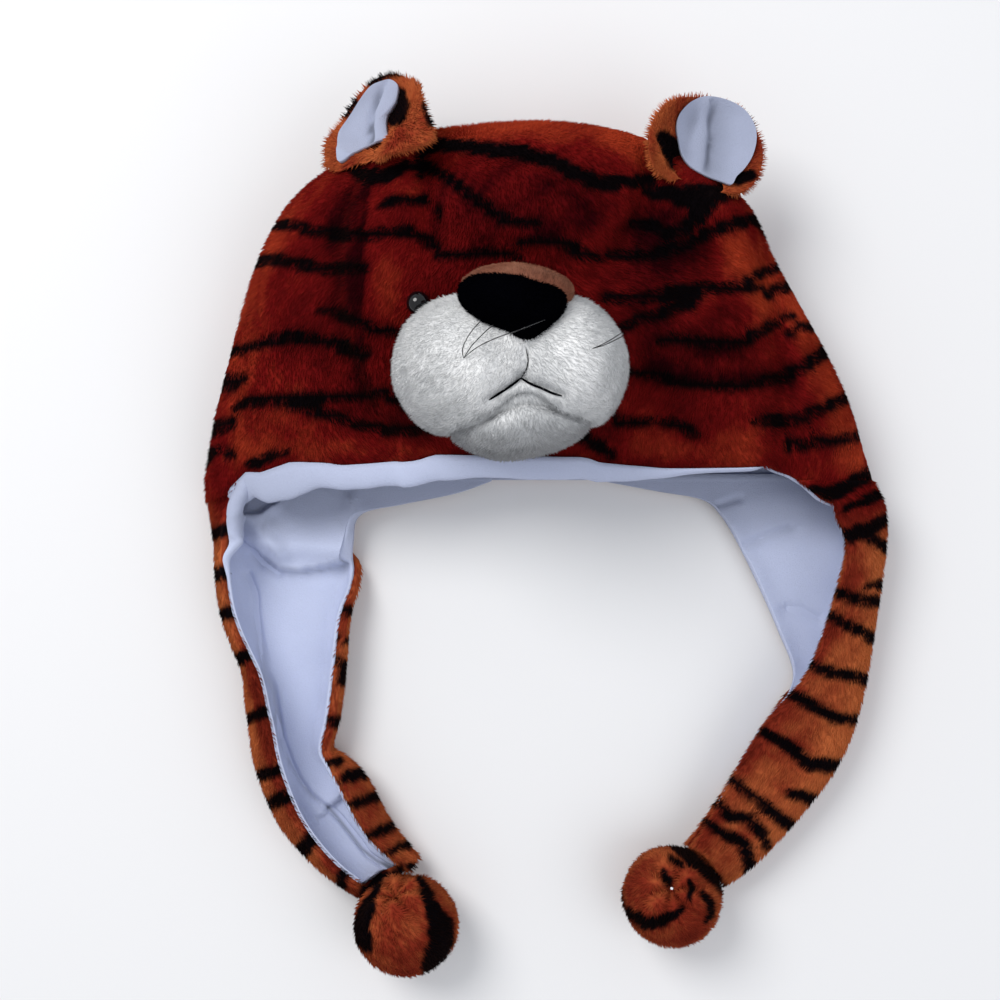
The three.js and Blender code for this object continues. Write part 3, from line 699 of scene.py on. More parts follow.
class Tree(Nodes):
    """A Geometry Nodes tree in the making."""

    def __init__(self, name: str) -> None:
        """Starts the tree with a geometry going in and one coming out."""
        super().__init__(bpy.data.node_groups.new(name, "GeometryNodeTree"))
        for way in ("INPUT", "OUTPUT"):
            self.tree.interface.new_socket(name="Geometry", in_out=way, socket_type="NodeSocketGeometry")
        self.ids: dict[str, str] = {}
        self.start = self.tree.nodes.new("NodeGroupInput")
        self.end = self.tree.nodes.new("NodeGroupOutput")

    def needs(self, name: str, kind: str = "NodeSocketFloat", default: object = None) -> None:
        """Adds a named input, with its value before a modifier sets it."""
        socket = self.tree.interface.new_socket(name=name, in_out="INPUT", socket_type=kind)
        if default is not None:
            socket.default_value = default
        self.ids[name] = socket.identifier

    def given(self, name: str) -> bpy.types.NodeSocket:
        """The socket of a named input."""
        return self.start.outputs[name]

    def maths(self, how: str, a: object, b: object = 0.0, c: object = 0.0) -> bpy.types.NodeSocket:
        """One sum of numbers."""
        return self.node("ShaderNodeMath", {0: a, 1: b, 2: c}, operation=how).outputs[0]

    def vector(self, how: str, a: object, b: object = None, scale: object = None) -> bpy.types.NodeSocket:
        """One sum of vectors."""
        links = {key: value for key, value in ((0, a), (1, b), ("Scale", scale)) if value is not None}
        return self.node("ShaderNodeVectorMath", links, operation=how).outputs[0]

    def random(self, low: object, high: object, seed: int, kind: str = "FLOAT") -> bpy.types.NodeSocket:
        """Random numbers, or random vectors for the kind FLOAT_VECTOR."""
        first = 0 if kind == "FLOAT_VECTOR" else 2
        made = self.node("FunctionNodeRandomValue", {first: low, first + 1: high, "Seed": seed}, data_type=kind)
        return made.outputs[0 if kind == "FLOAT_VECTOR" else 1]

    def named(self, name: str, kind: str) -> bpy.types.NodeSocket:
        """The values of a named attribute."""
        return self.node("GeometryNodeInputNamedAttribute", {"Name": name}, data_type=kind).outputs[0]

    def keep(self, geometry: object, name: str, kind: str, domain: str, value: object) -> bpy.types.NodeSocket:
        """Stores values as a named attribute."""
        links = {"Geometry": geometry, "Name": name, "Value": value}
        made = self.node("GeometryNodeStoreNamedAttribute", links, data_type=kind, domain=domain)
        return made.outputs[0]

    def finish(self, geometry: object, material: object) -> None:
        """Ends the tree in Realize Instances and Set Material."""
        real = self.node("GeometryNodeRealizeInstances", {"Geometry": geometry}).outputs[0]
        done = self.node("GeometryNodeSetMaterial", {"Geometry": real, "Material": material}).outputs[0]
        self.tree.links.new(done, self.end.inputs[0])

    def grow(self, piece: Object, values: dict[str, object]) -> None:
        """Puts the tree's result in the place of an object's mesh.

        Args:
            piece: the object.
            values: the tree's inputs by name.
        """
        modifier = piece.modifiers.new("grow", "NODES")
        modifier.node_group = self.tree
        for name, value in values.items():
            modifier[self.ids[name]] = value
        baked(piece)


def pile_tree() -> Tree:
    """Stands tapered tufts of yarn on a surface, leaning with its comb attribute."""
    t = Tree("pile")
    for name, default in (("Length", 0.005), ("Width", 0.0011), ("Density", 4e5), ("Lean", 1.4), ("Stray", 0.5),
                          ("Spacing", 0.001), ("Uneven", 0.25)):
        t.needs(name, default=default)
    t.needs("Seed", "NodeSocketInt", 1)
    t.needs("Material", "NodeSocketMaterial")
    base = t.start.outputs[0]
    spread = t.node("GeometryNodeDistributePointsOnFaces", {
        "Mesh": base, "Distance Min": t.given("Spacing"), "Density Max": t.given("Density"),
        "Density Factor": t.named("pile", "FLOAT"), "Seed": t.given("Seed"),
    }, distribute_method="POISSON")
    points = t.keep(spread.outputs["Points"], "root", "FLOAT_VECTOR", "POINT",
                    t.node("GeometryNodeInputPosition").outputs[0])
    points = t.keep(points, "root_normal", "FLOAT_VECTOR", "POINT", spread.outputs["Normal"])
    comb = t.named("comb", "FLOAT_VECTOR")
    stray = t.random((-1, -1, -1), (1, 1, 1), 11, "FLOAT_VECTOR")
    lean = t.vector("ADD", t.vector("SCALE", comb, scale=t.given("Lean")),
                    t.vector("SCALE", stray, scale=t.given("Stray")))
    axis = t.vector("NORMALIZE", t.vector("ADD", spread.outputs["Normal"], lean))
    turn = t.node("FunctionNodeAlignRotationToVector", {"Vector": axis}, axis="Z").outputs[0]
    radius = t.maths("MULTIPLY", t.given("Width"), 0.5)
    cone = t.node("GeometryNodeMeshCone", {
        "Vertices": 3, "Side Segments": 1, "Radius Top": 0.0, "Radius Bottom": radius, "Depth": t.given("Length"),
    }, fill_type="NONE")
    size = t.maths("SUBTRACT", 1.0, t.random(0.0, t.given("Uneven"), 12))
    copies = t.node("GeometryNodeInstanceOnPoints", {
        "Points": points, "Instance": cone.outputs["Mesh"], "Rotation": turn, "Scale": size,
    }).outputs[0]
    tufts = t.keep(t.node("GeometryNodeRealizeInstances", {"Geometry": copies}).outputs[0],
                   "blade", "FLOAT", "POINT", 1.0)
    joined = t.node("GeometryNodeJoinGeometry")
    t.tree.links.new(tufts, joined.inputs[0])
    t.tree.links.new(base, joined.inputs[0])
    smooth_faces = t.node("GeometryNodeSetShadeSmooth", {"Geometry": joined.outputs[0]}).outputs[0]
    t.finish(smooth_faces, t.given("Material"))
    return t


def thread_tree() -> Tree:
    """Turns edges into round threads that thin towards their ends."""
    t = Tree("thread")
    t.needs("Radius", default=0.0006)
    t.needs("Material", "NodeSocketMaterial")
    curve = t.node("GeometryNodeMeshToCurve", {0: t.start.outputs[0]}).outputs[0]
    curve = t.node("GeometryNodeResampleCurve", {"Curve": curve, "Count": 40}).outputs[0]
    round_off = t.node("GeometryNodeCurvePrimitiveCircle", {"Resolution": 6, "Radius": t.given("Radius")}).outputs[0]
    where = t.node("GeometryNodeSplineParameter").outputs["Factor"]
    edge = t.maths("POWER", t.maths("ABSOLUTE", t.maths("MULTIPLY_ADD", where, 2.0, -1.0)), 6.0)
    links = {"Curve": curve, "Profile Curve": round_off, "Fill Caps": True,
             "Scale": t.maths("MULTIPLY_ADD", edge, -0.6, 1.0)}
    tube = t.node("GeometryNodeCurveToMesh", links)
    t.finish(t.node("GeometryNodeSetShadeSmooth", {"Geometry": tube.outputs[0]}).outputs[0], t.given("Material"))
    return t


BROW_Y, TOP_Y = CROWN[0, 0], CROWN[-1, 0]
FOLD_FADE = 24.0


def fold_lift(x: Array, y: Array) -> Array:
    """How far the folds lift or sink the plush at plan places."""
    spot = np.stack([x.ravel(), y.ravel()], axis=1)
    lift = np.zeros(len(spot))
    for start, middle, end, left, right, height in FOLDS:
        curve = bend(start, middle, end, 49)
        gaps = np.linalg.norm(spot[:, None] - curve[None], axis=2)
        nearest = gaps.argmin(axis=1)
        gap, t = gaps[np.arange(len(spot)), nearest], nearest / 48
        spread = np.where(spot[:, 0] > curve[nearest, 0], right, left)
        ends = smooth(t, -0.2, 0.2) * (1 - smooth(t, 0.8, 1.2))
        lift += height * ends * np.exp(-((gap / spread) ** 2))
    return lift.reshape(x.shape)


def crown_base(turn: Array, along: Array, inset: Array) -> Array:
    """The crown without folds.

    Args:
        turn: how far round it, from 0 at the right through 0.25 on top to 1.
        along: how far from the brow, 0, to the top of the head, 1.
        inset: how far inwards from the outer plush.

    Returns:
        The places there.
    """
    turn, along, inset = np.broadcast_arrays(turn, along, inset)
    y, left, right, height, side = np.moveaxis(column(CROWN, along * (len(CROWN) - 1)), -1, 0)
    across, up = np.cos(2 * np.pi * turn), np.sin(2 * np.pi * turn)
    bow = np.where(up > 0, 2.3, 5.0)
    reach = np.where(up > 0, power(across, 2 / 2.3), power(across, 0.8))
    rise = np.maximum(1 - np.abs(reach) ** bow, 0) ** (1 / bow) * np.sign(up)
    x = (left + right) / 2 + shrink((right - left) / 2, inset) * reach
    z = side + shrink(np.where(up > 0, height - side, side), inset) * rise
    rim = (1 - smooth(along, 0, 0.3)) ** 2
    brow = 7 * smooth(up, 0, 0.6)
    depth = (y - BROW_Y) * (1 - inset / (TOP_Y - BROW_Y))
    return np.stack([x, BROW_Y + depth + rim * brow, z], axis=-1)


def crown_point(turn: Array, along: Array, inset: Array) -> Array:
    """The crown with its folds, as crown_base."""
    turn, along, inset = np.broadcast_arrays(turn, along, inset)
    step, low = 0.004, np.minimum(along, 0.98)
    outer = crown_base(turn, low, 0.0)
    around = crown_base(turn + step, low, 0.0) - crown_base(turn - step, low, 0.0)
    normal = unit(np.cross(crown_base(turn, low + step, 0.0) - outer, around))
    face = smooth(np.sin(2 * np.pi * turn), 0, 0.3) * (1 - smooth(along, 0.9, 1))
    lift = face * fold_lift(outer[..., 0], outer[..., 1]) * (1 - inset / FOLD_FADE)
    return crown_base(turn, along, inset) + normal * lift[..., None]


def grid_comb(rings: Array) -> Array:
    """Directions along a grid of rings."""
    return unit(np.gradient(rings, axis=0))


def hold(name: str, data: bpy.types.ID) -> Object:
    """A new object in the scene."""
    made = bpy.data.objects.new(name, data)
    bpy.context.scene.collection.objects.link(made)
    return made


def gone(*forms: Object) -> None:
    """Removes forms that were only there to shape others."""
    for form in forms:
        bpy.data.objects.remove(form)


def woven(name: str, points: Array, edges: list, faces: list) -> Object:
    """A new mesh object in the scene, from places of the tables' frame."""
    mesh = bpy.data.meshes.new(name)
    mesh.from_pydata(((points + ORIGIN) * METRE).tolist(), edges, faces)
    return hold(name, mesh)


def baked(piece: Object) -> Object:
    """Applies the modifiers of an object by taking their result as its mesh."""
    bpy.context.view_layer.update()
    graph = bpy.context.evaluated_depsgraph_get()
    mesh = bpy.data.meshes.new_from_object(piece.evaluated_get(graph), depsgraph=graph)
    piece.modifiers.clear()
    piece.data = mesh
    return piece


def finer(piece: Object) -> Object:
    """Splits each face of a piece in four and rounds them off."""
    modifier = piece.modifiers.new("finer", "SUBSURF")
    modifier.levels = modifier.render_levels = 1
    return baked(piece)


def remade(piece: Object, voxel: float, rounds: int) -> Object:
    """Gives a form new faces of about voxel millimetres, and smooths it for some rounds."""
    cloth = piece.modifiers.new("cloth", "REMESH")
    cloth.mode, cloth.voxel_size = "VOXEL", voxel * METRE
    ease = piece.modifiers.new("ease", "SMOOTH")
    ease.factor, ease.iterations = 0.5, rounds
    return baked(piece)


def carved(piece: Object, *cutters: Object, way: str = "DIFFERENCE") -> Object:
    """Cuts the space of other closed forms out of a piece, or joins them to it.

    Args:
        piece: the closed piece to cut.
        cutters: the closed forms that it makes room for.
        way: what is done with them.

    Returns:
        The piece.
    """
    for cutter in cutters:
        modifier = piece.modifiers.new("carve", "BOOLEAN")
        modifier.operation = way
        modifier.solver = "MANIFOLD"
        modifier.object = cutter
    return baked(piece)


def pulled(items: bpy.types.bpy_prop_collection, key: str, width: int = 1, kind: type = np.float32) -> Array:
    """One value of each item of a mesh, or a row of them where width is above 1."""
    found = np.empty(len(items) * width, kind)
    items.foreach_get(key, found)
    return found.reshape(-1, width) if width > 1 else found


def stored(mesh: Mesh, name: str, kind: str, values: Array) -> None:
    """Writes values for the points of a mesh as an attribute."""
    layer = mesh.attributes.get(name) or mesh.attributes.new(name, kind, "POINT")
    key = {"FLOAT": "value", "FLOAT_VECTOR": "vector", "FLOAT_COLOR": "color"}[kind]
    layer.data.foreach_set(key, values.astype(np.float32).ravel())


def tinted(mesh: Mesh, colour: Array) -> None:
    """Writes the colours of a mesh, and drops the attributes that only its pile needed."""
    stored(mesh, "tint", "FLOAT_COLOR", colour)
    for name in ("pile", "comb", "root", "root_normal", "blade"):
        if mesh.attributes.get(name) is not None:
            mesh.attributes.remove(mesh.attributes[name])


def cloth_map(mesh: Mesh) -> bpy.types.bpy_prop_collection:
    """The corners of a mesh on the cloth's map."""
    return (mesh.uv_layers.get(CLOTH_MAP) or mesh.uv_layers.new(name=CLOTH_MAP)).data


def places(mesh: Mesh) -> Array:
    """The points of a mesh in millimetres, in the tables' frame."""
    return pulled(mesh.vertices, "co", 3).astype(float) / METRE - ORIGIN


def move_to(mesh: Mesh, points: Array) -> None:
    """Moves the points of a mesh to places of the tables' frame."""
    mesh.vertices.foreach_set("co", ((points + ORIGIN) * METRE).astype(np.float32).ravel())
    mesh.update()


def facings(mesh: Mesh) -> Array:
    """The way that each point of a mesh faces."""
    return pulled(mesh.vertices, "normal", 3).astype(float)


# How far up a tuft the colour of its tip is read
TINT_REACH = 0.65


@dataclass(frozen=True)
class Pile:
    """The pile of a plush: how its tufts stand.

    Attributes:
        length: the length of a tuft in millimetres.
        width: its width at the root.
        spacing: the least distance between two tufts.
        density: how many tufts there are in a square millimetre, where the pile is full.
        lean: how far they lean along their comb.
        stray: how much they stray from it.
        root: how dark a tuft is painted at its root, against the colour of the plush, as painted shade between the
            tufts.
        tip: how bright it is painted at its tip, as a painted highlight.
        uneven: how much shorter a tuft may be.
    """

    length: float
    width: float
    spacing: float
    density: float
    lean: float
    stray: float
    # Painted shade at the roots and a painted highlight at the tips
    root: float = 0.74
    tip: float = 1.1
    uneven: float = 0.4

    def grown(self, piece: Object, tree: Tree, material: Material, seed: int) -> None:
        """Grows the pile on a piece.

        Args:
            piece: the bare piece, with its pile and comb attributes.
            tree: the tree that stands tufts on a surface.
            material: the finish of the tufts and the cloth.
            seed: which growth it is.
        """
        tree.grow(piece, {
            "Length": self.length * METRE, "Width": self.width * METRE, "Density": self.density / METRE**2,
            "Lean": self.lean, "Stray": self.stray, "Spacing": self.spacing * METRE, "Uneven": self.uneven,
            "Seed": seed, "Material": material,
        })
        spot = pulled(piece.data.vertices, "co", 3)
        spot[:, 2] = np.maximum(spot[:, 2], FLOOR_GAP)
        piece.data.vertices.foreach_set("co", spot.ravel())
        piece.data.update()


def lay_tufts(mesh: Mesh, tuft: Array, root: Array) -> None:
    """Gives each tuft its own small place on the cloth's map, above the place of the bare cloth.

    Args:
        mesh: the mesh.
        tuft: which of its points belong to tufts.
        root: where the tuft of each point stands.
    """
    layer = cloth_map(mesh)
    uv = pulled(layer, "uv", 2)
    corner = pulled(mesh.loops, "vertex_index", 1, np.int32)
    on_tuft = tuft[corner]
    uv[~on_tuft, 1] *= 0.5
    cells, number = np.unique(np.round(root[tuft], 3), axis=0, return_inverse=True)
    order = np.lexsort((cells[:, 0], cells[:, 2] // 8, cells[:, 1] // 4))
    rank = np.empty(len(cells), int)
    rank[order] = np.arange(len(cells))
    spot = np.zeros(len(tuft), int)
    spot[tuft] = rank[number.ravel()]
    cell = spot[corner[on_tuft]]
    side = int(np.ceil(np.sqrt(max(len(cells), 1) * 2)))
    rows = max(int(np.ceil(len(cells) / side)), 1)
    gap = np.linalg.norm(places(mesh) - root, axis=1)
    tip = (tuft & (gap > gap[tuft].mean()))[corner[on_tuft]]
    u = np.where(tip, 0.5, 0.2 + 0.3 * (np.flatnonzero(on_tuft) % 3))
    v = np.where(tip, 0.85, 0.15)
    uv[on_tuft] = np.stack([(cell % side + u) / side, 0.5 + 0.5 * (cell // side + v) / rows], axis=1)
    layer.foreach_set("uv", np.clip(uv, 0, 1).ravel())


def painted(piece: Object, pile: Pile, colours: "Painter") -> None:
    """Colours a piece point by point, with painted shade at the roots of its tufts and on its bare cloth, and painted
    highlights at their tips.

    Args:
        piece: the piece, with its pile.
        pile: how its tufts stand.
        colours: gives the colours for places and the way that they face.
    """
    mesh = piece.data
    spot = places(mesh)
    tuft = pulled(mesh.attributes["blade"].data, "value") > 0.5
    stood, faced = (pulled(mesh.attributes[name].data, "vector", 3).astype(float) for name in ("root", "root_normal"))
    root = np.where(tuft[:, None], stood / METRE - ORIGIN, spot)
    facing = np.where(tuft[:, None], faced, facings(mesh))
    reach = np.clip(np.linalg.norm(spot - root, axis=1) / pile.length, 0, 1)
    lay_tufts(mesh, tuft, root)
    colour = colours(root + TINT_REACH * (spot - root), facing)
    # Painted shade at the roots and on the bare cloth, rising to a painted highlight at the tips.
    colour[:, :3] *= (pile.root + (pile.tip - pile.root) * reach)[:, None]
    tinted(mesh, colour)


@dataclass(frozen=True)
class Painter:
    """Colours for a plush of the animal's coat.

    Attributes:
        coat: its colours.
        stripes: where its stripes run.
        painted_light: where painted light and shade of the pile and its folds lie.
        tone: its tone where nothing changes it.
        edge: painted sheen: how much brighter it is painted where it turns away from straight up; below 0, painted
            shade that darkens it there.
        below: the coat that takes over below the rim.
        soft: how wide the edge of a stripe is.
        wide: how much wider than its table a stripe is.
    """

    coat: Coat
    stripes: tuple = ()
    painted_light: tuple = ()
    tone: float = 0.34
    edge: float = 0.3
    below: Coat | None = None
    soft: float = 0.8
    wide: float = 0.9

    def __call__(self, points: Array, facing: Array) -> Array:
        """The colours of places that face given ways."""
        flat = plan(points)
        low = 1 - smooth(flat[:, 1], -28, 8) if self.below else np.zeros(len(points))
        tone = self.tone + 0.17 * low
        # Painted light and shade of the pile and its folds, along lines of plan places.
        for value, right, left, line in self.painted_light:
            rows, far = np.array(line, float), 2.2 * max(right, left)
            inside = np.flatnonzero(((flat > rows.min(axis=0) - far) & (flat < rows.max(axis=0) + far)).all(axis=1))
            spot, best = flat[inside], np.zeros(len(inside))
            for a, b in zip(rows[:-1], rows[1:]):
                _, gap, on_left = beside(spot, a, b)
                best = np.maximum(best, np.exp(-((gap / np.where(on_left, left, right)) ** 2)))
            tone[inside] += value * best
        # Painted sheen where the surface turns from straight up (painted shade where edge is below 0); the ripples
        # are random tone.
        tone += self.edge * (1 - np.clip(facing[:, 2], 0, 1)) + 0.08 * ripple(points, 26, 3)
        tone += 0.06 * ripple(points, 8, 4) + 0.05 * ripple(points, 2.2, 5)
        wander = np.stack([ripple(points, 5.1, 6), ripple(points, 4.7, 7)], axis=1) * 0.4
        wander += np.stack([ripple(points, 1.6, 8), ripple(points, 1.5, 9)], axis=1) * 0.2
        lines = tuple(tuple((x, y, half + self.wide) for x, y, half in line) for line in self.stripes)
        stripe = near_lines(flat + wander, lines, self.soft) if lines else np.zeros(len(points))
        stripe = stripe * (facing[:, 2] > -0.6)
        colour = self.coat.tint(tone, stripe)
        if self.below:
            colour += (self.below.tint(tone, stripe) - colour) * low[:, None]
        return colour


def puffed(name: str, bare: Object, pressure: float, rounds: int, seams: tuple = ()) -> Object:
    """Makes a cloth of even faces over a form, and puffs it up as its stuffing does, with a cloth simulation.

    Args:
        name: the name of the new object.
        bare: the form, which is used up.
        pressure: how hard its stuffing pushes.
        rounds: how often the cloth is smoothed first.
        seams: lines of the picture that its stitches hold down.

    Returns:
        The stuffed form, with finer faces.
    """
    piece = hold(name, bare.data.copy())
    gone(bare)
    remade(piece, 4.0, rounds)
    before = places(piece.data)
    held = near_lines(plan(before), [band(line, 1.2) for line in seams], 2.0) * (facings(piece.data)[:, 2] > 0.1)
    group = piece.vertex_groups.new(name="held")
    for level in (0.3, 0.6, 1.0):
        rows = np.flatnonzero((held > level - 0.3) & (held <= level))
        group.add([int(row) for row in rows], level, "REPLACE")
    cloth = piece.modifiers.new("stuffing", "CLOTH").settings
    cloth.quality = 6
    cloth.use_pressure = True
    cloth.uniform_pressure_force = pressure
    cloth.tension_stiffness = cloth.compression_stiffness = 20
    cloth.effector_weights.gravity = 0
    if (held > 0).any():
        cloth.vertex_group_mass = "held"
    for step in range(1, 21):
        bpy.context.scene.frame_set(step)
    baked(piece)
    bpy.context.scene.frame_set(1)
    moves = places(piece.data) - before
    far = np.linalg.norm(moves, axis=1, keepdims=True)
    move_to(piece.data, before + moves * np.minimum(1, SWELL_MOST / np.maximum(far, 1e-6)))
    LOG.info("%s: swelled by %.1f mm at most", piece.name, min(float(far.max()), SWELL_MOST))
    return finer(piece)


def report(piece: Object, *nodes: str, slot: Slot, fill: float | None = None) -> None:
    """Attaches a finished piece to the root body, hides the nodes of the frame that it stands for, and logs its
    faces.

    Args:
        piece: the finished piece.
        nodes: the nodes of the frame that it stands for.
        slot: not used.
        fill: not used.
    """
    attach(piece, "root")
    if nodes:
        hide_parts(*nodes)
    LOG.info("%s: %d faces", piece.name, len(piece.data.polygons))


@dataclass
class Kit:
    """What the pieces share: the trees, the finishes and the head that they sit on."""

    pile: Tree
    thread: Tree
    finishes: dict[Slot, Material]
    ground: "Ground"


def furred(piece: Object, node: str, kit: Kit, pile: Pile, painter: Painter, seed: int,
           slot: Slot = Slot.PLUSH, fill: float | None = None) -> None:
    """Grows and colours the pile of a piece, and reports it.

    Args:
        piece: the bare piece.
        node: the node of the frame that it stands for.
        kit: the trees and the finishes.
        pile: how its pile stands.
        painter: its colours.
        seed: which growth it is.
        slot: the slot of its finish.
        fill: not used; it is only passed on to report.
    """
    pile.grown(piece, kit.pile, kit.finishes[slot], seed)
    painted(piece, pile, painter)
    report(piece, node, slot=slot, fill=fill)


def fleeced(piece: Object, node: str, kit: Kit, fold_shade: float = 0.3, tone: float = 1.0, creases: tuple = ()) -> None:
    """Gives a lining its fleece, with painted shade where it sinks into folds and painted shadow under the brow, and
    reports it.

    Args:
        piece: the lining.
        node: the node of the frame that it stands for.
        kit: the finishes.
        fold_shade: how much darker the painted shade makes it in the folds.
        tone: how bright it is painted elsewhere; below 1, painted shade over the whole lining.
        creases: lines of the picture where it lies in shade, with their reach, softness and strength.
    """
    mesh = piece.data
    mesh.materials.clear()
    mesh.materials.append(kit.finishes[Slot.FLEECE])
    spot, facing = places(mesh), facings(mesh)
    ends = pulled(mesh.edges, "vertices", 2, np.int32)
    bent, reach = np.zeros(len(spot)), np.zeros(len(spot))
    for a, b in (ends.T, ends.T[::-1]):
        step = spot[b] - spot[a]
        np.add.at(bent, a, (step * facing[a]).sum(axis=1))
        np.add.at(reach, a, (step**2).sum(axis=1))
    hollow = bent / np.maximum(reach, 1e-6)
    for _ in range(12):
        total, count = hollow.copy(), np.ones(len(spot))
        np.add.at(total, ends[:, 0], hollow[ends[:, 1]])
        np.add.at(total, ends[:, 1], hollow[ends[:, 0]])
        np.add.at(count, ends.ravel(), 1)
        hollow = total / count
    # Painted shade in the hollows of the folds.
    shade = tone * (1 - fold_shade * smooth(hollow, 0.005, 0.09))
    # Painted shadow under the brow's roll.
    shade *= 1 - 0.26 * smooth(plan(spot)[:, 1], -26, -6) * (1 - smooth(spot[:, 2], 38, 52))
    # Painted shade along the creases.
    for line, half, soft, dark in creases:
        shade *= 1 - dark * near_lines(plan(spot), [band(line, half)], soft)
    tinted(mesh, np.hstack([np.array(FLEECE_WHITE) * shade[:, None], np.ones((len(spot), 1))]))
    report(piece, node, slot=Slot.FLEECE)


def crown_steps(count: int) -> Array:
    """Steps along the crown, closer together towards the top of the head."""
    return np.sin(0.5 * np.pi * np.arange(count) / count) ** 1.1


class Ground:
    """The upper side of the crown's plush, for what sits on it."""

    def __init__(self) -> None:
        """Samples the crown and keeps it as a tree of faces, and as a closed form to cut with."""
        turn = np.linspace(0, 1, 144, endpoint=False)
        skin = ring_skin(crown_point(turn[None], crown_steps(48)[::-1, None], 0.0))
        self.tree = BVHTree.FromPolygons([Vector(p) for p in skin.points], skin.faces)
        self.form = skin.made("crown_form")

    def height(self, x: float, y: float) -> float:
        """The height of the crown at a place of its plan, or 0 beside it."""
        hit = self.tree.ray_cast(Vector((x, y, 300)), Vector((0, 0, -1)))[0]
        return hit.z if hit else 0.0


@dataclass
class Crown:
    """The plush shell over the head, and the fleece inside it."""

    pile: Pile = Pile(length=3.1, width=0.8, spacing=0.62, density=1.4, lean=1.7, stray=0.36)
    upper: int = 150
    lower: int = 58
    along: int = 70
    inner: int = 8

    def turns(self) -> Array:
        """Steps round the crown, closer together on its upper side."""
        return np.concatenate([np.linspace(0, 0.5, self.upper, endpoint=False),
                               np.linspace(0.5, 1, self.lower, endpoint=False)])

    def dropped(self, points: Array, turn: Array) -> Array:
        """Draws the sides of the rim down over the start of the flaps."""
        up = np.sin(2 * np.pi * turn)
        rim = crown_base(turn, 0.0, 0.0)
        low = np.interp(rim[:, 0], (-137, -129, -121, -114, 126, 135, 142, 149, 156, 173),
                        (-1, 2, 9, 16, 17, 15, 11, 5, 1, -1))
        wave = np.interp(rim[:, 0], (-107, -93, -79, -71, -57, -36, -29, -17, 38, 44, 56, 72, 106, 123, 128),
                         (-3.6, 1.1, 0.6, -0.6, 0.2, 1.9, 4.1, 3.7, 2.4, -0.2, -1.9, -2.8, -2.4, -1.9, -4.5))
        fall = np.minimum(low - rim[:, 1], 0) * smooth(up, 0.0, 0.12) + wave * smooth(up, 0.25, 0.6)
        depth = points[..., 1] - rim[:, 1]
        found = points.copy()
        found[..., 1] += fall * (1 - smooth(depth, 0, 26))
        return found

    def rings(self, along: Array, inset: Array) -> Array:
        """Rings of places at steps along the crown, inset from the outer plush."""
        turn = self.turns()
        return self.dropped(crown_point(turn[None], along[:, None], inset), turn)

    def shell(self) -> Skin:
        """The plush, with its pile all over the outside."""
        turn = self.turns()
        outer = self.rings(crown_steps(self.along)[::-1], STAND)
        inner = self.rings(crown_steps(self.inner), PLUSH)
        up = np.sin(2 * np.pi * turn)
        brow = self.brow(turn)
        full = np.broadcast_to(0.12 + 0.88 * smooth(up, -0.7, -0.15), outer.shape[:2])
        from_rim = np.linalg.norm(outer - outer[-1], axis=2)
        full = full * (1 - brow * (1 - smooth(from_rim, 0.2, 1.6))) * np.where(up < 0, smooth(from_rim, 4, 6), 1)
        pile = np.vstack([full, np.zeros(inner.shape[:2])])
        comb = grid_comb(outer)
        side = np.stack([ripple(outer.reshape(-1, 3), 60, 21).reshape(outer.shape[:2])] * 3, axis=-1)
        comb = comb + 0.5 * side * np.array([1.0, 0.3, 0.0])
        return ring_skin(np.vstack([outer, inner]), pile, np.vstack([comb, np.zeros_like(inner) + 1e-3]))

    def hidden(self, skin: Skin) -> Skin:
        """Leaves out the pile where the muzzle covers the plush."""
        flat = skin.points[:, :2]
        for x, y, rx, ry in ((-13, 55, 25, 25), (27, 56, 20, 24), (8, 60, 20, 22), (9, 38, 27, 13)):
            inside = ((flat[:, 0] - x) / rx) ** 2 + ((flat[:, 1] - y) / ry) ** 2 < 1
            skin.pile[inside & (skin.points[:, 2] > 30)] = 0
        return skin

    def brow(self, turn: Array) -> Array:
        """How much of the fleece's roll there is round the rim."""
        rim = crown_base(turn, 0.0, 0.0)
        return (smooth(np.sin(2 * np.pi * turn), 0.1, 0.4) * smooth(rim[:, 0], -132, -120)
                * (1 - smooth(rim[:, 0], 112, 126)))

    def lining(self) -> Skin:
        """The fleece, rolled out over the plush along the brow."""
        turn = self.turns()
        rim = crown_base(turn, 0.0, 0.0)
        outer_inset, inner_inset = PLUSH + GAP, PLUSH + GAP + FLEECE
        weight = self.brow(turn)
        sizes = np.interp(rim[:, 0], (-132, -124, -116, -107, -98, -94, -88, -83, -64, -17, 38, 59, 85, 97, 127),
                          (3, 8, 11, 13.5, 15.5, 15.5, 13.5, 11.6, 11.2, 11, 9.5, 6.7, 3, 2.2, 1.5))
        size = 0.3 + (sizes - 0.3) * weight
        lip = outer_inset + (-0.9 - outer_inset) * weight
        outer = self.rings(crown_steps(20), outer_inset)
        inner = self.rings(crown_steps(44)[::-1], inner_inset)
        roll = []
        for k in range(13):
            swing = np.pi * k / 12
            inset = (lip + inner_inset) / 2 - ((inner_inset - lip) / 2) * np.cos(swing)
            ring = self.rings(np.zeros(1), inset)[0]
            bump = 1 + 0.05 * ripple(ring, 34, 31) + 0.02 * ripple(ring, 13, 32)
            ring[:, 1] += -GAP - size * np.sin(swing) * bump
            roll.append(ring)
        return ring_skin(np.vstack([inner, np.array(roll[::-1]), outer]))

    def build(self, kit: Kit) -> None:
        """Makes both pieces."""
        plush = self.hidden(self.shell()).made("crown_plush")
        furred(plush, "crown", kit, self.pile, HAT_COLOURS, 101)
        fleeced(self.lining().made("crown_fleece"), "crown_lining", kit)


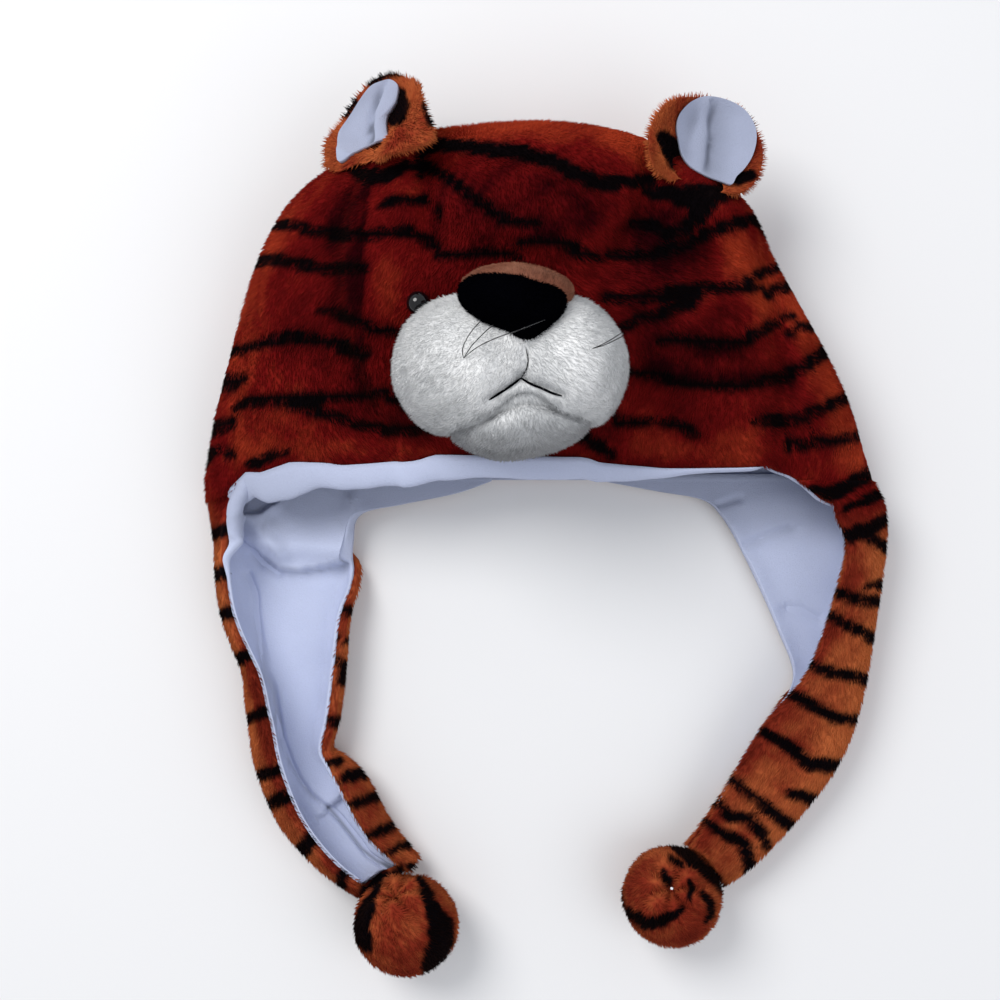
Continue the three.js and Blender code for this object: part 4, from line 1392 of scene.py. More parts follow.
@dataclass
class Flap:
    """One ear flap: its plush outside and the fleece inside it."""

    name: str
    rows: Array
    side: int
    puff: float
    folds: tuple = ()
    bend_steps: int = 11
    edge_steps: int = 6
    bare_from: float = -1e3
    cuff: tuple = ()
    creases: tuple = ()
    pile: Pile = Pile(length=3.2, width=0.85, spacing=0.68, density=1.3, lean=1.7, stray=0.38)

    def section(self, t: Array, steps: int) -> tuple[Array, Array, Array, Array]:
        """The bent section at row numbers: how far across, how high, and the way that its outside faces."""
        floor, back, back_turn, back_r, front, front_turn, front_r = np.moveaxis(column(self.rows, t), -1, 0)[2:]

        def half(edge: Array, turn: Array, radius: Array, way: int) -> list[tuple]:
            """The bend and the straight edge on one side."""
            found = []
            for k in range(1, self.bend_steps + 1):
                swing = np.radians(turn) * k / self.bend_steps
                across, up = floor / 2 + radius * np.sin(swing), radius * (1 - np.cos(swing))
                found.append((way * across, up, way * np.sin(swing), -np.cos(swing)))
            across, up, nx, nz = found[-1]
            for k in range(1, self.edge_steps + 1):
                out = edge * k / self.edge_steps
                found.append((across - out * nz * way, up + out * nx * way, nx, nz))
            return found

        list_ = half(back, back_turn, back_r, -1)[::-1]
        for k in range(steps + 1):
            zero = np.zeros_like(t)
            list_.append((floor * (k / steps - 0.5), zero, zero, zero - 1))
        list_ += half(front, front_turn, front_r, 1)
        return tuple(np.array(v) for v in zip(*list_))

    def layer(self, near: float, far: float, rings: int, steps: int) -> tuple[Array, Array]:
        """Two grids of places, at two distances outwards from the seam of plush and fleece."""
        last = len(self.rows) - 1
        t = np.linspace(0, last, rings)
        low, high = np.clip(t - 0.01, 0, last), np.clip(t + 0.01, 0, last)
        way = unit((column(self.rows, high) - column(self.rows, low))[:, :2])
        turned = smooth(t, 3, 5)
        ax = self.side + (-way[:, 1] * self.side - self.side) * turned
        ay = way[:, 0] * self.side * turned
        x, y = column(self.rows, t)[:, 0], column(self.rows, t)[:, 1]
        puff = self.puff * smooth(y, -31, -19) if near < 0 else np.zeros_like(y)
        across, up, nx, nz = self.section(t, steps)
        grids = []
        for offset in (near, far):
            out = across + (offset - puff * nx**2) * nx
            height = FLAP_PLUSH + up + (offset - puff * nz**2) * nz
            grid = np.stack([x + ax * out, y + ay * out, height], axis=-1)
            grids.append(np.moveaxis(grid, 0, 1))
        return grids[0], grids[1]

    def shell(self) -> Skin:
        """The plush, with its pile on the outside and round its edges."""
        near, far = self.layer(0, FLAP_PLUSH - STAND, 110, 12)
        comb = np.concatenate([grid_comb(far), grid_comb(near)[:, ::-1]], axis=1)
        count, side = far.shape[1], self.bend_steps + self.edge_steps
        full = np.ones(count * 2)
        full[count + 2:-2] = 0
        full[int(side * 0.8):count - int(side * 0.8)] = 0.12
        pile = np.tile(full, (len(far), 1))
        bare = plan(far[:, 0])[:, 1] > self.bare_from
        tuck = smooth(plan(far[:, 0])[:, 1], self.bare_from, self.bare_from + 8)[:, None, None]
        tuck = 5.0 * tuck * (1 - smooth(np.arange(count), 0, side + 3))[None, :, None]
        near, far = (g + unit(g[:, side + 3:side + 4] - g[:, :1]) * tuck for g in (near, far))
        if self.cuff:
            size = np.interp(plan(far[:, -1])[:, 1], *zip(*self.cuff))
            tuck = 1.3 * size[:, None, None] * smooth(np.arange(count), count - side - 3, count - 1)[None, :, None]
            near, far = (g + unit(g[:, -side - 4:-side - 3] - g[:, -1:]) * tuck for g in (near, far))
            pile[np.ix_(size > 1.2, np.arange(count - 3, count + 3))] = 0
        pile[np.ix_(bare, np.r_[0:side + 2, 2 * count - 2:2 * count])] = 0
        return ring_skin(np.concatenate([far, near[:, ::-1]], axis=1), pile, comb, caps=Caps.STRIP)

    def lining(self) -> Skin:
        """The fleece, with its folds."""
        back, front = self.layer(-GAP, -GAP - FLEECE, 190, 56)
        normal = unit(front - back)
        flat = plan(front.reshape(-1, 3))
        rise = 0.35 * ripple(front.reshape(-1, 3), 34, 41) + 0.12 * ripple(front.reshape(-1, 3), 13, 42)
        for line, left, right, height in self.folds:
            gap, on_left = off_line(flat, seen(line))
            rise += height * np.exp(-((gap / np.where(on_left, left, right)) ** 2))
        calm = 1 - np.abs(np.linspace(-1, 1, front.shape[1])) ** 24
        front = front + normal * (rise.reshape(front.shape[:2]) * calm)[..., None]
        level = (normal[0, :, 2] > 0.97)[:, None] * np.array([0, 3.4, 1.7])
        back, front = (np.concatenate([(g[0] + level)[None], g]) for g in (back, front))
        rings = [back, front[:, ::-1]]
        if self.cuff:
            size = np.interp(plan(front[:, -1])[:, 1], *zip(*self.cuff))[:, None, None]
            out, up = unit(back[:, -1:] - front[:, -1:]), unit(front[:, -1:] - front[:, -5:-4])
            turn = np.linspace(1.3 * np.pi, 0, 13)[:-1, None]
            rings.insert(1, front[:, -1:] + size * ((1 - np.cos(turn)) * out + np.sin(turn) * up))
        rings = np.concatenate(rings, axis=1)
        return ring_skin(rings, caps=Caps.STRIP)

    def build(self, kit: Kit, pompom: Object, wider: Object) -> None:
        """Makes both pieces, cut back where the pompom is sewn on."""
        plush = carved(self.shell().made(f"{self.name}_plush"), pompom)
        furred(plush, self.name, kit, self.pile, HAT_COLOURS, 201 + self.side)
        fleece = carved(self.lining().made(f"{self.name}_fleece"), wider)
        fleeced(fleece, f"{self.name}_lining", kit, 0.42, creases=self.creases)


@dataclass
class Ear:
    """One ear: a plush bowl, its fleece lining, and how it stands on the head.

    Attributes:
        name: its name in the frame.
        inner: 1 where its raised side lies to the right, or -1.
        place: the middle of its bowl.
        turn: how it is turned, in degrees.
        outline: the plush's outline, in the picture's points.
        front: the fleece's outline.
        crease: where the fleece folds.
        marks: the dark places of its pile, as rows of the picture's x and y and a half width in millimetres.
        roots: stuffed balls under it, which join it to the head.
        tone: how bright its fleece is painted; below 1, painted shade over it.
        creases: where its fleece lies in shade.
        pile: how the pile of its back stands.
    """

    name: str
    inner: int
    place: tuple[float, float, float]
    turn: tuple[float, float, float]
    outline: tuple
    front: tuple
    crease: tuple
    marks: tuple = ()
    roots: tuple = ()
    width: float = 52.0
    height: float = 41.0
    tone: float = 0.7
    creases: tuple = ()
    pile: Pile = Pile(length=3.2, width=0.8, spacing=0.62, density=1.5, lean=1.6, stray=0.45)

    def matrix(self) -> Array:
        """The turn of the ear."""
        return np.array(Euler(np.radians(self.turn), "XYZ").to_matrix())

    def bowl(self, x: Array, y: Array) -> Array:
        """How deep the bowl is at places of the ear."""
        reach = np.minimum(np.hypot(x / (self.width / 2), y / (self.height / 2)), 1.15)
        return 7 * reach**2 + 10 * smooth(x * self.inner / (self.width / 2), 0.2, 1)

    def placed(self, points: Array) -> Array:
        """Carries places of the ear to where it stands."""
        return points @ self.matrix().T + np.array(self.place)

    def local(self, line: tuple, lift: float) -> Array:
        """Where the camera sees a line of the picture on the bowl."""
        flat = seen(line)
        eye = np.array([0, 0, EYE_HEIGHT])
        ways = (np.hstack([flat, np.zeros((len(flat), 1))]) - eye) @ self.matrix()
        start = (eye - np.array(self.place)) @ self.matrix()
        depth = np.full(len(flat), lift)
        for _ in range(16):
            t = (depth - start[2]) / ways[:, 2]
            spot = start[:2] + t[:, None] * ways[:, :2]
            depth = self.bowl(spot[:, 0], spot[:, 1]) + lift
        return spot

    def layer(self, line: tuple, near: float, far: float, trim: float, fold: float = 0.0) -> Skin:
        """One layer of the ear, between two distances in front of the bowl.

        Args:
            line: its outline in the picture.
            near: where its back lies, in front of the bowl.
            far: where its front lies.
            trim: how much narrower it is than its outline.
            fold: how high its fold stands.

        Returns:
            The layer.
        """
        edge = self.local(line, far)
        middle = centre_of(edge)
        angle = np.linspace(0, 2 * np.pi, 110, endpoint=False)
        radius = (traced(edge - middle)(np.arctan2(np.sin(angle), np.cos(angle))) - trim)[None]
        reach = np.sin(0.5 * np.pi * np.arange(1, 29) / 28)[:, None]
        x, y = middle[0] + radius * reach * np.cos(angle), middle[1] + radius * reach * np.sin(angle)
        depth = self.bowl(x, y)
        calm = 1 - reach**8
        rise = 0.3 * ripple(np.stack([x, y], axis=-1).reshape(-1, 2), 14, 51).reshape(x.shape)
        if fold:
            gap, on_left = off_line(np.stack([x, y], axis=-1).reshape(-1, 2), self.local(self.crease, far))
            side = np.where(on_left, -gap, gap).reshape(x.shape) * self.inner
            rise += fold * np.exp(-((side / np.where(side > 0, 1.1, 6.5)) ** 2))
            rise -= fold * 0.9 * np.exp(-(((side - 2.4) / 2.0) ** 2))
        top = depth + far + rise * calm
        upper, lower = np.stack([x, y, top], axis=-1), np.stack([x, y, depth + near], axis=-1)
        rings = np.concatenate([upper, lower[::-1]])
        comb = np.concatenate([grid_comb(upper), grid_comb(lower)[::-1]])
        spun = self.placed(rings.reshape(-1, 3)).reshape(rings.shape)
        lean = (comb.reshape(-1, 3) @ self.matrix().T).reshape(comb.shape)
        full = np.full(rings.shape[:2], 0.0 if fold else 1.0)
        if not fold:
            edge = self.local(self.front, 2.1)
            middle = centre_of(edge)
            dx, dy = x - middle[0], y - middle[1]
            full[:28] = np.hypot(dx, dy) > traced(edge - middle)(np.arctan2(dy, dx)) + 0.2
        return ring_skin(spun, full, lean)

    def build(self, kit: Kit) -> None:
        """Makes both pieces, the plush joined to its roots and cut where it meets the head."""
        bare = self.layer(self.outline, -4.0 + STAND * 0.7, -0.5, 1.6)
        roots = [oval(*root).made("root") for root in self.roots]
        plush = carved(bare.made(f"{self.name}_plush"), *roots, way="UNION")
        gone(*roots)
        plush = carved(plush, kit.ground.form)
        marks = tuple(tuple((*seen(row[:2]), row[2]) for row in mark) for mark in self.marks)
        # Painted sheen where the ear's pile turns from straight up.
        painter = Painter(FLAP_COAT, marks, tone=0.62, edge=0.25)
        furred(plush, self.name, kit, self.pile, painter, 301 + self.inner)
        fleece = self.layer(self.front, 0.3, 2.1, 0.0, fold=1.5).made(f"{self.name}_fleece")
        # Painted shade in the fleece's folds, over the whole lining by its tone, and along its creases.
        fleeced(fleece, f"{self.name}_lining", kit, 0.55, self.tone, self.creases)


def ball_skin(count: int, around: int, shape: Callable[[Array, Array], Array]) -> Skin:
    """A closed round surface.

    Args:
        count: how many rings it has from pole to pole.
        around: how many points a ring has.
        shape: gives the place for each swing from the pole and angle round it.

    Returns:
        The surface.
    """
    swing = (np.pi * np.arange(1, count) / count)[:, None]
    angle = np.linspace(0, 2 * np.pi, around, endpoint=False)[None]
    rings = shape(*np.broadcast_arrays(swing, angle))
    return ring_skin(rings, np.ones(rings.shape[:2]), grid_comb(rings))


def oval(x: float, y: float, z: float, rx: float, ry: float, rz: float, lean: float = 0.0) -> Skin:
    """A ball stretched to its half sizes and turned in plan by a few degrees."""
    def shape(swing: Array, angle: Array) -> Array:
        """Places on it."""
        px, py = rx * np.sin(swing) * np.cos(angle), ry * np.sin(swing) * np.sin(angle)
        c, s = np.cos(np.radians(lean)), np.sin(np.radians(lean))
        return np.stack([x + c * px - s * py, y + s * px + c * py, z + rz * np.cos(swing)], axis=-1)
    return ball_skin(40, 72, shape)


def blended(name: str, skins: list[Skin], voxel: float, rounds: int) -> Object:
    """Joins closed surfaces into one smooth form.

    Args:
        name: the name of the new object.
        skins: the surfaces.
        voxel: the size of the new faces in millimetres.
        rounds: how often the joints are smoothed.

    Returns:
        The new object.
    """
    points, faces = [], []
    for skin in skins:
        start = sum(len(p) for p in points)
        points.append(skin.points)
        faces += [tuple(v + start for v in f) for f in skin.faces]
    made = remade(woven(name, np.vstack(points), [], faces), voxel, rounds)
    made.data.shade_smooth()
    return made


def grooved(points: Array, facing: Array, line: Array, wide: float, deep: float) -> Array:
    """Sinks points along a line that the camera sees.

    Args:
        points: the places.
        facing: the way that they face.
        line: plan places along the line.
        wide: how far the groove spreads.
        deep: how deep it is.

    Returns:
        The sunk places.
    """
    sink = deep * np.exp(-((off_line(plan(points), line)[0] / wide) ** 1.3)) * (facing[:, 2] > 0.05)
    return points - facing * sink[:, None]


def fluffed(piece: Object, comb: Array, pile: Array) -> None:
    """Gives a bare piece the attributes that its pile reads, and a place on the cloth's map.

    Args:
        piece: the piece.
        comb: which way the pile leans at each point.
        pile: how thickly it stands there.
    """
    mesh = piece.data
    stored(mesh, "pile", "FLOAT", pile)
    stored(mesh, "comb", "FLOAT_VECTOR", comb)
    spot = places(mesh)
    spot = (spot - spot.min(axis=0)) / np.ptp(spot, axis=0).max()
    uv = spot[pulled(mesh.loops, "vertex_index", 1, np.int32)][:, :2] * np.array([0.5, 1.0])
    under = pulled(mesh.polygons, "normal", 3)[:, 2] < 0
    uv[np.repeat(under, pulled(mesh.polygons, "loop_total", 1, np.int32)), 0] += 0.5
    cloth_map(mesh).foreach_set("uv", uv.astype(np.float32).ravel())


def pad_skin(line: tuple, z: float, low: float, high: float, fat: float = 1.0, tilt: float = 0.0) -> Skin:
    """A pad with an outline of its own, domed on both faces.

    Args:
        line: its outline, in the picture's points.
        z: the height of its edge.
        low: its lowest height.
        high: its highest height.
        fat: how soon it thins towards its edge, where 1 is an even dome and less is fuller.
        tilt: how much its edge climbs towards the top of the head.

    Returns:
        The pad.
    """
    edge = seen(line) * (1 - z / EYE_HEIGHT)
    middle = centre_of(edge)
    reach_at = traced(edge - middle)

    def shape(swing: Array, angle: Array) -> Array:
        """Places on it."""
        reach = reach_at(np.arctan2(np.sin(angle), np.cos(angle))) * np.sin(swing)
        x, y = middle[0] + reach * np.cos(angle), middle[1] + reach * np.sin(angle)
        dome = power(np.cos(swing), fat)
        height = z + tilt * (y - middle[1]) * np.sin(swing) ** 0.2
        return np.stack([x, y, height + np.where(dome > 0, high - z, z - low) * dome], axis=-1)
    return ball_skin(44, 96, shape)


@dataclass
class Face:
    """The stuffed muzzle, chin, nose and bridge, the eyes, the mouth's stitches and the whiskers."""

    cheeks: tuple = ((-14, 55, 82, 33, 32, 42, -8), (27.5, 56, 82, 27.8, 30.5, 42, 8), (8, 60, 84, 26, 28, 37, 0))
    chin: tuple = ((522, 379), (506, 391), (488, 401), (465, 414), (446, 428), (453, 440), (471, 450), (498, 459),
                   (528, 456), (555, 450), (579, 438), (592, 425), (586, 413), (571, 401), (552, 393), (537, 385))
    fold: tuple = ((463, 438), (480, 422), (500, 409), (522, 403), (545, 404), (566, 411), (583, 420))
    bridge: tuple = ((459, 284), (470, 273), (489, 266), (512, 263.5), (538, 267), (560, 275), (575, 286),
                     (573, 299), (558, 312), (520, 320), (480, 310), (462, 296))
    nose: tuple = ((454, 285), (470, 276), (490, 273), (523, 275), (552, 286), (568, 290), (569, 304), (559, 321),
                   (538, 338), (525, 347), (512, 334), (483, 323), (466, 311), (456, 297))
    eyes: tuple = (("eye_left", -34.5, 83, 5.0, 1.5), ("eye_right", 40, 78, 4.0, -1.0))
    cut: float = 1.6
    fine: Pile = Pile(length=2.7, width=0.62, spacing=0.5, density=2.3, lean=1.4, stray=0.6, root=0.9, tip=1.04)
    short: Pile = Pile(length=1.8, width=0.65, spacing=0.55, density=2.2, lean=1.6, stray=0.5, root=0.8, tip=1.1)
    philtrum: tuple = ((526, 349), (528, 360), (526, 370), (521, 378))
    mouth_left: tuple = ((521, 378), (512, 385), (500, 393), (489, 400))
    mouth_right: tuple = ((521, 378), (531, 384), (541, 388), (552, 393), (562, 396))
    creases: tuple = (((489, 400), (470, 412), (446, 434)), ((562, 396), (578, 406), (592, 421), (602, 433)))
    whiskers: tuple = (((463.6, 358.4), (462.4, 350), (466, 340), (472.5, 330), (480.7, 321)),
                       ((463.6, 358.4), (470, 348), (477, 340), (485, 332), (493, 325)),
                       ((463.6, 358.4), (476, 348), (495, 338.5), (520, 329.5), (545, 319.7)),
                       ((591.7, 348.8), (602, 344.5), (612, 339), (622, 332.5)),
                       ((591.7, 348.8), (603, 345.5), (613, 341), (624, 335.5)))

    def muzzle(self, kit: Kit, chin: Object) -> Object:
        """The two cheeks and the snout between them, seamed down the middle, with room for the chin."""
        cut = self.cut + 0.6
        skins = [oval(x, y, z, rx - cut, ry - cut, rz - cut, lean) for x, y, z, rx, ry, rz, lean in self.cheeks]
        made = carved(blended("muzzle_bare", skins, 1.5, 4), chin)
        made = puffed("muzzle_plush", made, 4.0, 3, (self.philtrum, self.mouth_left, self.mouth_right, *self.creases))
        spot, facing = places(made.data), facings(made.data)
        for line, deep in ((self.philtrum, 3.2), (self.mouth_left, 3.0), (self.mouth_right, 2.6)):
            spot = grooved(spot, facing, seen(line), 2.2, deep)
        move_to(made.data, spot + facing * (0.35 * ripple(spot, 16, 61))[:, None])
        return carved(made, kit.ground.form)

    def combed(self, piece: Object, middle: tuple, bare: Sequence[tuple] = ()) -> Object:
        """Combs the pile of a piece away from its middle, and parts it along lines of the picture."""
        spot, facing = places(piece.data), facings(piece.data)
        away = spot - np.array(middle, float)
        away -= facing * (away * facing).sum(axis=1, keepdims=True)
        full = 0.1 + 0.9 * smooth(facing[:, 2], -0.75, -0.3)
        full *= 1 - near_lines(plan(spot), [band(line, 0.7) for line in bare], 0.5)
        fluffed(piece, unit(away + 1e-3), full)
        return piece

    def build(self, kit: Kit) -> None:
        """Makes every piece of the face."""
        lips = (self.philtrum, self.mouth_left, self.mouth_right)
        pad = pad_skin(self.chin, 84, 54, 113 - self.cut, 0.7, 0.45)
        chin = puffed("chin_plush", blended("chin_bare", [pad], 2.0, 3), 4.0, 3)
        muzzle = self.muzzle(kit, chin)
        muzzle_form = hold("muzzle_form", muzzle.data.copy())
        move_to(chin.data, grooved(places(chin.data), facings(chin.data), seen(self.fold), 2.8, 3.4))
        chin = carved(chin, kit.ground.form, muzzle_form)
        nose = blended("nose_bare", [pad_skin(self.nose, 112, 98, 126.5 - self.cut, 0.8)], 2.0, 2)
        nose = carved(puffed("nose_plush", nose, 3.0, 1), muzzle_form)
        nose_form = hold("nose_form", nose.data.copy())
        bridge = blended("bridge_bare", [pad_skin(self.bridge, 103, 80, 120 - self.cut, 0.8)], 2.0, 2)
        bridge = carved(puffed("nose_bridge_plush", bridge, 3.0, 1), kit.ground.form, muzzle_form, nose_form)
        graph = bpy.context.evaluated_depsgraph_get()
        self.thread_work(kit, [BVHTree.FromObject(form, graph) for form in (nose_form, muzzle_form)])
        # Painted shade on the muzzle's and chin's sides that turn from straight up, deepest on the lower-toned chin;
        # painted sheen on the nose and bridge.
        muzzle_coat = Painter(MUZZLE_COAT, tone=0.85, edge=-0.4)
        chin_coat = Painter(MUZZLE_COAT, tone=0.68, edge=-0.9)
        nose_coat = Painter(NOSE_COAT, tone=0.4, edge=0.2)
        bridge_coat = Painter(TAN_COAT, tone=0.6, edge=0.1)
        muzzle, chin = self.combed(muzzle, (8, 70, 90), lips), self.combed(chin, (9, 50, 90), lips[1:])
        furred(muzzle, "muzzle", kit, self.fine, muzzle_coat, 401, Slot.MUZZLE, 0.8)
        furred(chin, "chin", kit, self.fine, chin_coat, 402, Slot.MUZZLE, 0.7)
        furred(self.combed(nose, (8, 76, 120)), "nose", kit, self.short, nose_coat, 403, Slot.BLACK, 0.8)
        furred(self.combed(bridge, (9, 70, 100)), "nose_bridge", kit, self.short, bridge_coat, 404, Slot.TAN, 0.6)
        for name, x, y, size, lift in self.eyes:
            self.eye(name, x, y, size, lift, kit, muzzle_form)
        gone(muzzle_form, nose_form)

    def thread_work(self, kit: Kit, forms: list[BVHTree]) -> None:
        """The mouth's stitches, which lie in their grooves, and the whiskers, which arch over the cheeks."""
        def height(x: float, y: float) -> float:
            """The height of the face where the camera sees a plan place."""
            found = [60.0]
            for form in forms:
                start = (Vector((0, 0, EYE_HEIGHT)) + Vector(ORIGIN)) * METRE
                aim = (Vector((x, y, 0)) + Vector(ORIGIN)) * METRE
                hit = form.ray_cast(start, (aim - start).normalized())[0]
                if hit:
                    found.append(hit.z / METRE)
            return max(found)

        def drawn(lines: tuple, lift: Callable[[float], float]) -> list[Array]:
            """Threads over lines of the picture."""
            threads = []
            for line in lines:
                rows = seen(line)
                flat = column(rows, np.linspace(0, len(rows) - 1, 26))
                top = height(*flat[0])
                found = []
                for k, (x, y) in enumerate(flat):
                    here = height(x, y)
                    top = here if lift(k / 25) < 2 else max(here, top - 0.5)
                    z = top + lift(k / 25)
                    found.append((x * (1 - z / EYE_HEIGHT), y * (1 - z / EYE_HEIGHT), z))
                threads.append(np.array(found))
            return threads

        thread(kit, "mouth_stitches", drawn((self.mouth_left, self.mouth_right), lambda t: 0.9), 0.5, Slot.BLACK)
        thread(kit, "philtrum_stitch", drawn((self.philtrum,), lambda t: 0.7), 0.22, Slot.BLACK)
        thread(kit, "whiskers", drawn(self.whiskers, lambda t: 0.2 + 7 * np.sin(t * 2.2)), 0.2, Slot.EYE)

    def eye(self, name: str, x: float, y: float, size: float, lift: float, kit: Kit, muzzle: Object) -> None:
        """One glossy dome, on the crown beside the muzzle."""
        z = kit.ground.height(x, y) + lift
        dome = carved(oval(x, y, z, size, size, size).made(f"{name}_dome"), kit.ground.form, muzzle)
        dome.data.materials.clear()
        dome.data.materials.append(kit.finishes[Slot.EYE])
        report(dome, name, slot=Slot.EYE)


THREADS = {Slot.FLEECE: (0.85, 0.85, 0.9), Slot.BLACK: (0.002, 0.002, 0.003)}


def thread(kit: Kit, name: str, lines: list[Array], radius: float, slot: Slot) -> None:
    """Makes threads along lines of places.

    Args:
        kit: the trees and the finishes.
        name: the name of the piece.
        lines: the places along each thread.
        radius: how thick they are.
        slot: the slot of their finish.
    """
    edges, start = [], 0
    for line in lines:
        edges += [(start + k, start + k + 1) for k in range(len(line) - 1)]
        start += len(line)
    made = woven(name, np.vstack(lines), edges, [])
    kit.thread.grow(made, {"Radius": radius * METRE, "Material": kit.finishes[slot]})
    tinted(made.data, np.tile((*THREADS.get(slot, (0, 0, 0)), 1), len(made.data.vertices)))
    report(made, slot=slot)


@dataclass
class Pompom:
    """A stuffed ball at the tip of a flap, gathered at one pole."""

    name: str
    x: float
    y: float
    pole: tuple[float, float, float]
    stripes: tuple
    seed: int
    stretch: float = 1.0
    radius: float = 24.5
    sink: float = 1.4
    pile: Pile = Pile(length=3.4, width=1.0, spacing=0.72, density=1.2, lean=1.5, stray=0.45)

    def middle(self) -> Array:
        """The middle of the ball."""
        return np.array([self.x, self.y, self.radius - self.sink])

    def gathered(self, points: Array, clear: float) -> Array:
        """Pulls places of a ball in round its pole, in pleats that turn a little as they run out."""
        turn = np.array(Vector((0, 0, 1)).rotation_difference(Vector(self.pole)).to_matrix())
        local = (points - self.middle()) @ turn
        reach = np.linalg.norm(local, axis=1)
        swing = np.arccos(np.clip(local[:, 2] / np.maximum(reach, 1e-6), -1, 1))
        angle = np.arctan2(local[:, 0], local[:, 1])
        gather = np.exp(-((swing / 0.9) ** 2))
        pleat = np.cos(6 * angle + 2.4 * swing) * gather * (1 - np.exp(-((swing / 0.16) ** 2)))
        size = 1 - 0.26 * np.exp(-((swing / 0.26) ** 2)) + 0.06 * pleat
        found = points + (points - self.middle()) * (size - 1)[:, None]
        found[:, 0] = self.x + (found[:, 0] - self.x) * self.stretch
        found[:, 2] = np.maximum(found[:, 2], max(-clear, 0.0) * 0.5)
        return found

    def form(self, clear: float) -> Skin:
        """The ball, grown by clear."""
        def shape(swing: Array, angle: Array) -> Array:
            """Places on it."""
            spot = np.stack([np.sin(swing) * np.sin(angle), np.sin(swing) * np.cos(angle), np.cos(swing)], axis=-1)
            found = spot * (self.radius + clear) + self.middle()
            found[..., 2] = np.maximum(found[..., 2], max(-clear, 0.0) * 0.5)
            return found
        return ball_skin(56, 96, shape)

    def cutter(self, clear: float) -> Object:
        """The closed form that the flap makes room for, clear of the ball."""
        made = self.form(clear).made(f"{self.name}_cutter")
        return made

    def build(self, kit: Kit) -> None:
        """Makes the pompom."""
        ball = blended(f"{self.name}_bare", [self.form(-STAND - 0.6)], 2.0, 1)
        made = finer(puffed(f"{self.name}_plush", ball, 3.0, 1))
        move_to(made.data, self.gathered(places(made.data), -STAND))
        pole = np.array(self.pole) / np.linalg.norm(self.pole)
        out = facings(made.data)
        away = out - pole * (out @ pole)[:, None] - pole
        comb = unit(away - out * (away * out).sum(axis=1, keepdims=True)) + 0.5 * np.cross(pole, out)
        fluffed(made, comb, 0.15 + 0.85 * smooth(out[:, 2], -0.9, -0.6))
        # Painted sheen where the ball turns from straight up.
        painter = Painter(FLAP_COAT, self.stripes, tone=0.5, edge=0.25)
        furred(made, self.name, kit, self.pile, painter, self.seed, fill=0.85)
        if self.stretch == 1:
            top = self.middle() + pole * self.radius * 0.93
            thread(kit, f"{self.name}_knot", [top + np.linspace((-0.6, 0, 0), (0.6, -0.4, 0), 4)], 0.6, Slot.FLEECE)


# Each coat runs from painted shade, deep, to painted light, bright.
TIGER = Coat(deep=(0.028, 0.001, 0.003), mid=(0.22, 0.008, 0.008), bright=(0.54, 0.060, 0.022),
             stripe=(0.003, 0.002, 0.003))
FLAP_COAT = Coat(deep=(0.08, 0.005, 0.005), mid=(0.32, 0.038, 0.018), bright=(0.72, 0.19, 0.06),
                 stripe=(0.003, 0.002, 0.003))
# The hat's plush, with painted light and shade along the tables' lines and painted sheen on its sides.
HAT_COLOURS = Painter(TIGER, CROWN_STRIPES + FLAP_STRIPES, CROWN_PAINTED_LIGHT + FLAP_PAINTED_LIGHT, tone=0.355, below=FLAP_COAT)
MUZZLE_COAT = Coat(deep=(0.36, 0.365, 0.38), mid=(0.70, 0.71, 0.72), bright=(1.0, 1.0, 1.0))
NOSE_COAT = Coat(deep=(0.0005, 0.0005, 0.001), mid=(0.001, 0.001, 0.002), bright=(0.003, 0.003, 0.005))
TAN_COAT = Coat(deep=(0.14, 0.05, 0.03), mid=(0.25, 0.09, 0.055), bright=(0.42, 0.19, 0.12))
FLEECE_WHITE = (0.54, 0.59, 0.78)

FINISHES = {
    Slot.PLUSH: ClothFinish("tiger plush", 0.9, 0.02, 0.4, (1.0, 0.35, 0.15), 0.0003, 2600, 0.10, 0.01),
    Slot.FLEECE: ClothFinish("white fleece", 0.95, 0.2, 0.5, (0.9, 0.92, 1.0), 0.0004, 1500, 0.03),
    Slot.MUZZLE: ClothFinish("grey-white plush", 0.9, 0.4, 0.4, (1.0, 1.0, 1.0), 0.0002, 2600, 0.05),
    Slot.BLACK: ClothFinish("black plush", 0.9, 0.0, 0.4, (0.5, 0.55, 0.7), 0.0003, 2600, 0.1, 0.0),
    Slot.TAN: ClothFinish("tan plush", 0.9, 0.05, 0.4, (1.0, 0.8, 0.6), 0.0003, 2600, 0.1),
    Slot.EYE: GlossFinish("glossy black", (0.002, 0.002, 0.003), 0.1, 0.1),
}

LEFT_FOLDS = (
    (((245, 515), (266, 533), (273, 543), (283, 556)), 4, 4, 3.0),
    (((262, 553), (271, 559), (280, 567), (293, 569), (306, 568), (326, 565), (341, 560), (359, 555)), 15, 1, 6.0),
    (((273, 506), (263, 514), (253, 515), (243, 515)), 4, 1, 3.5),
    (((233, 539), (250, 546), (263, 563), (278, 573)), 2.5, 2.5, -2.5),
    (((248, 576), (255, 594), (256, 614), (260, 639), (265, 672), (273, 689), (281, 738), (289, 761), (298, 779),
      (311, 796), (328, 808)), 1.8, 1.8, -2.4),
    (((330, 809), (341, 820), (356, 839), (369, 856), (384, 866), (395, 872)), 1.5, 1.5, -4.5),
    (((328, 808), (343, 792)), 9, 1.0, 3.4),
    (((352, 500), (356, 534), (361, 556), (357, 575)), 4, 4, 2.0),
)
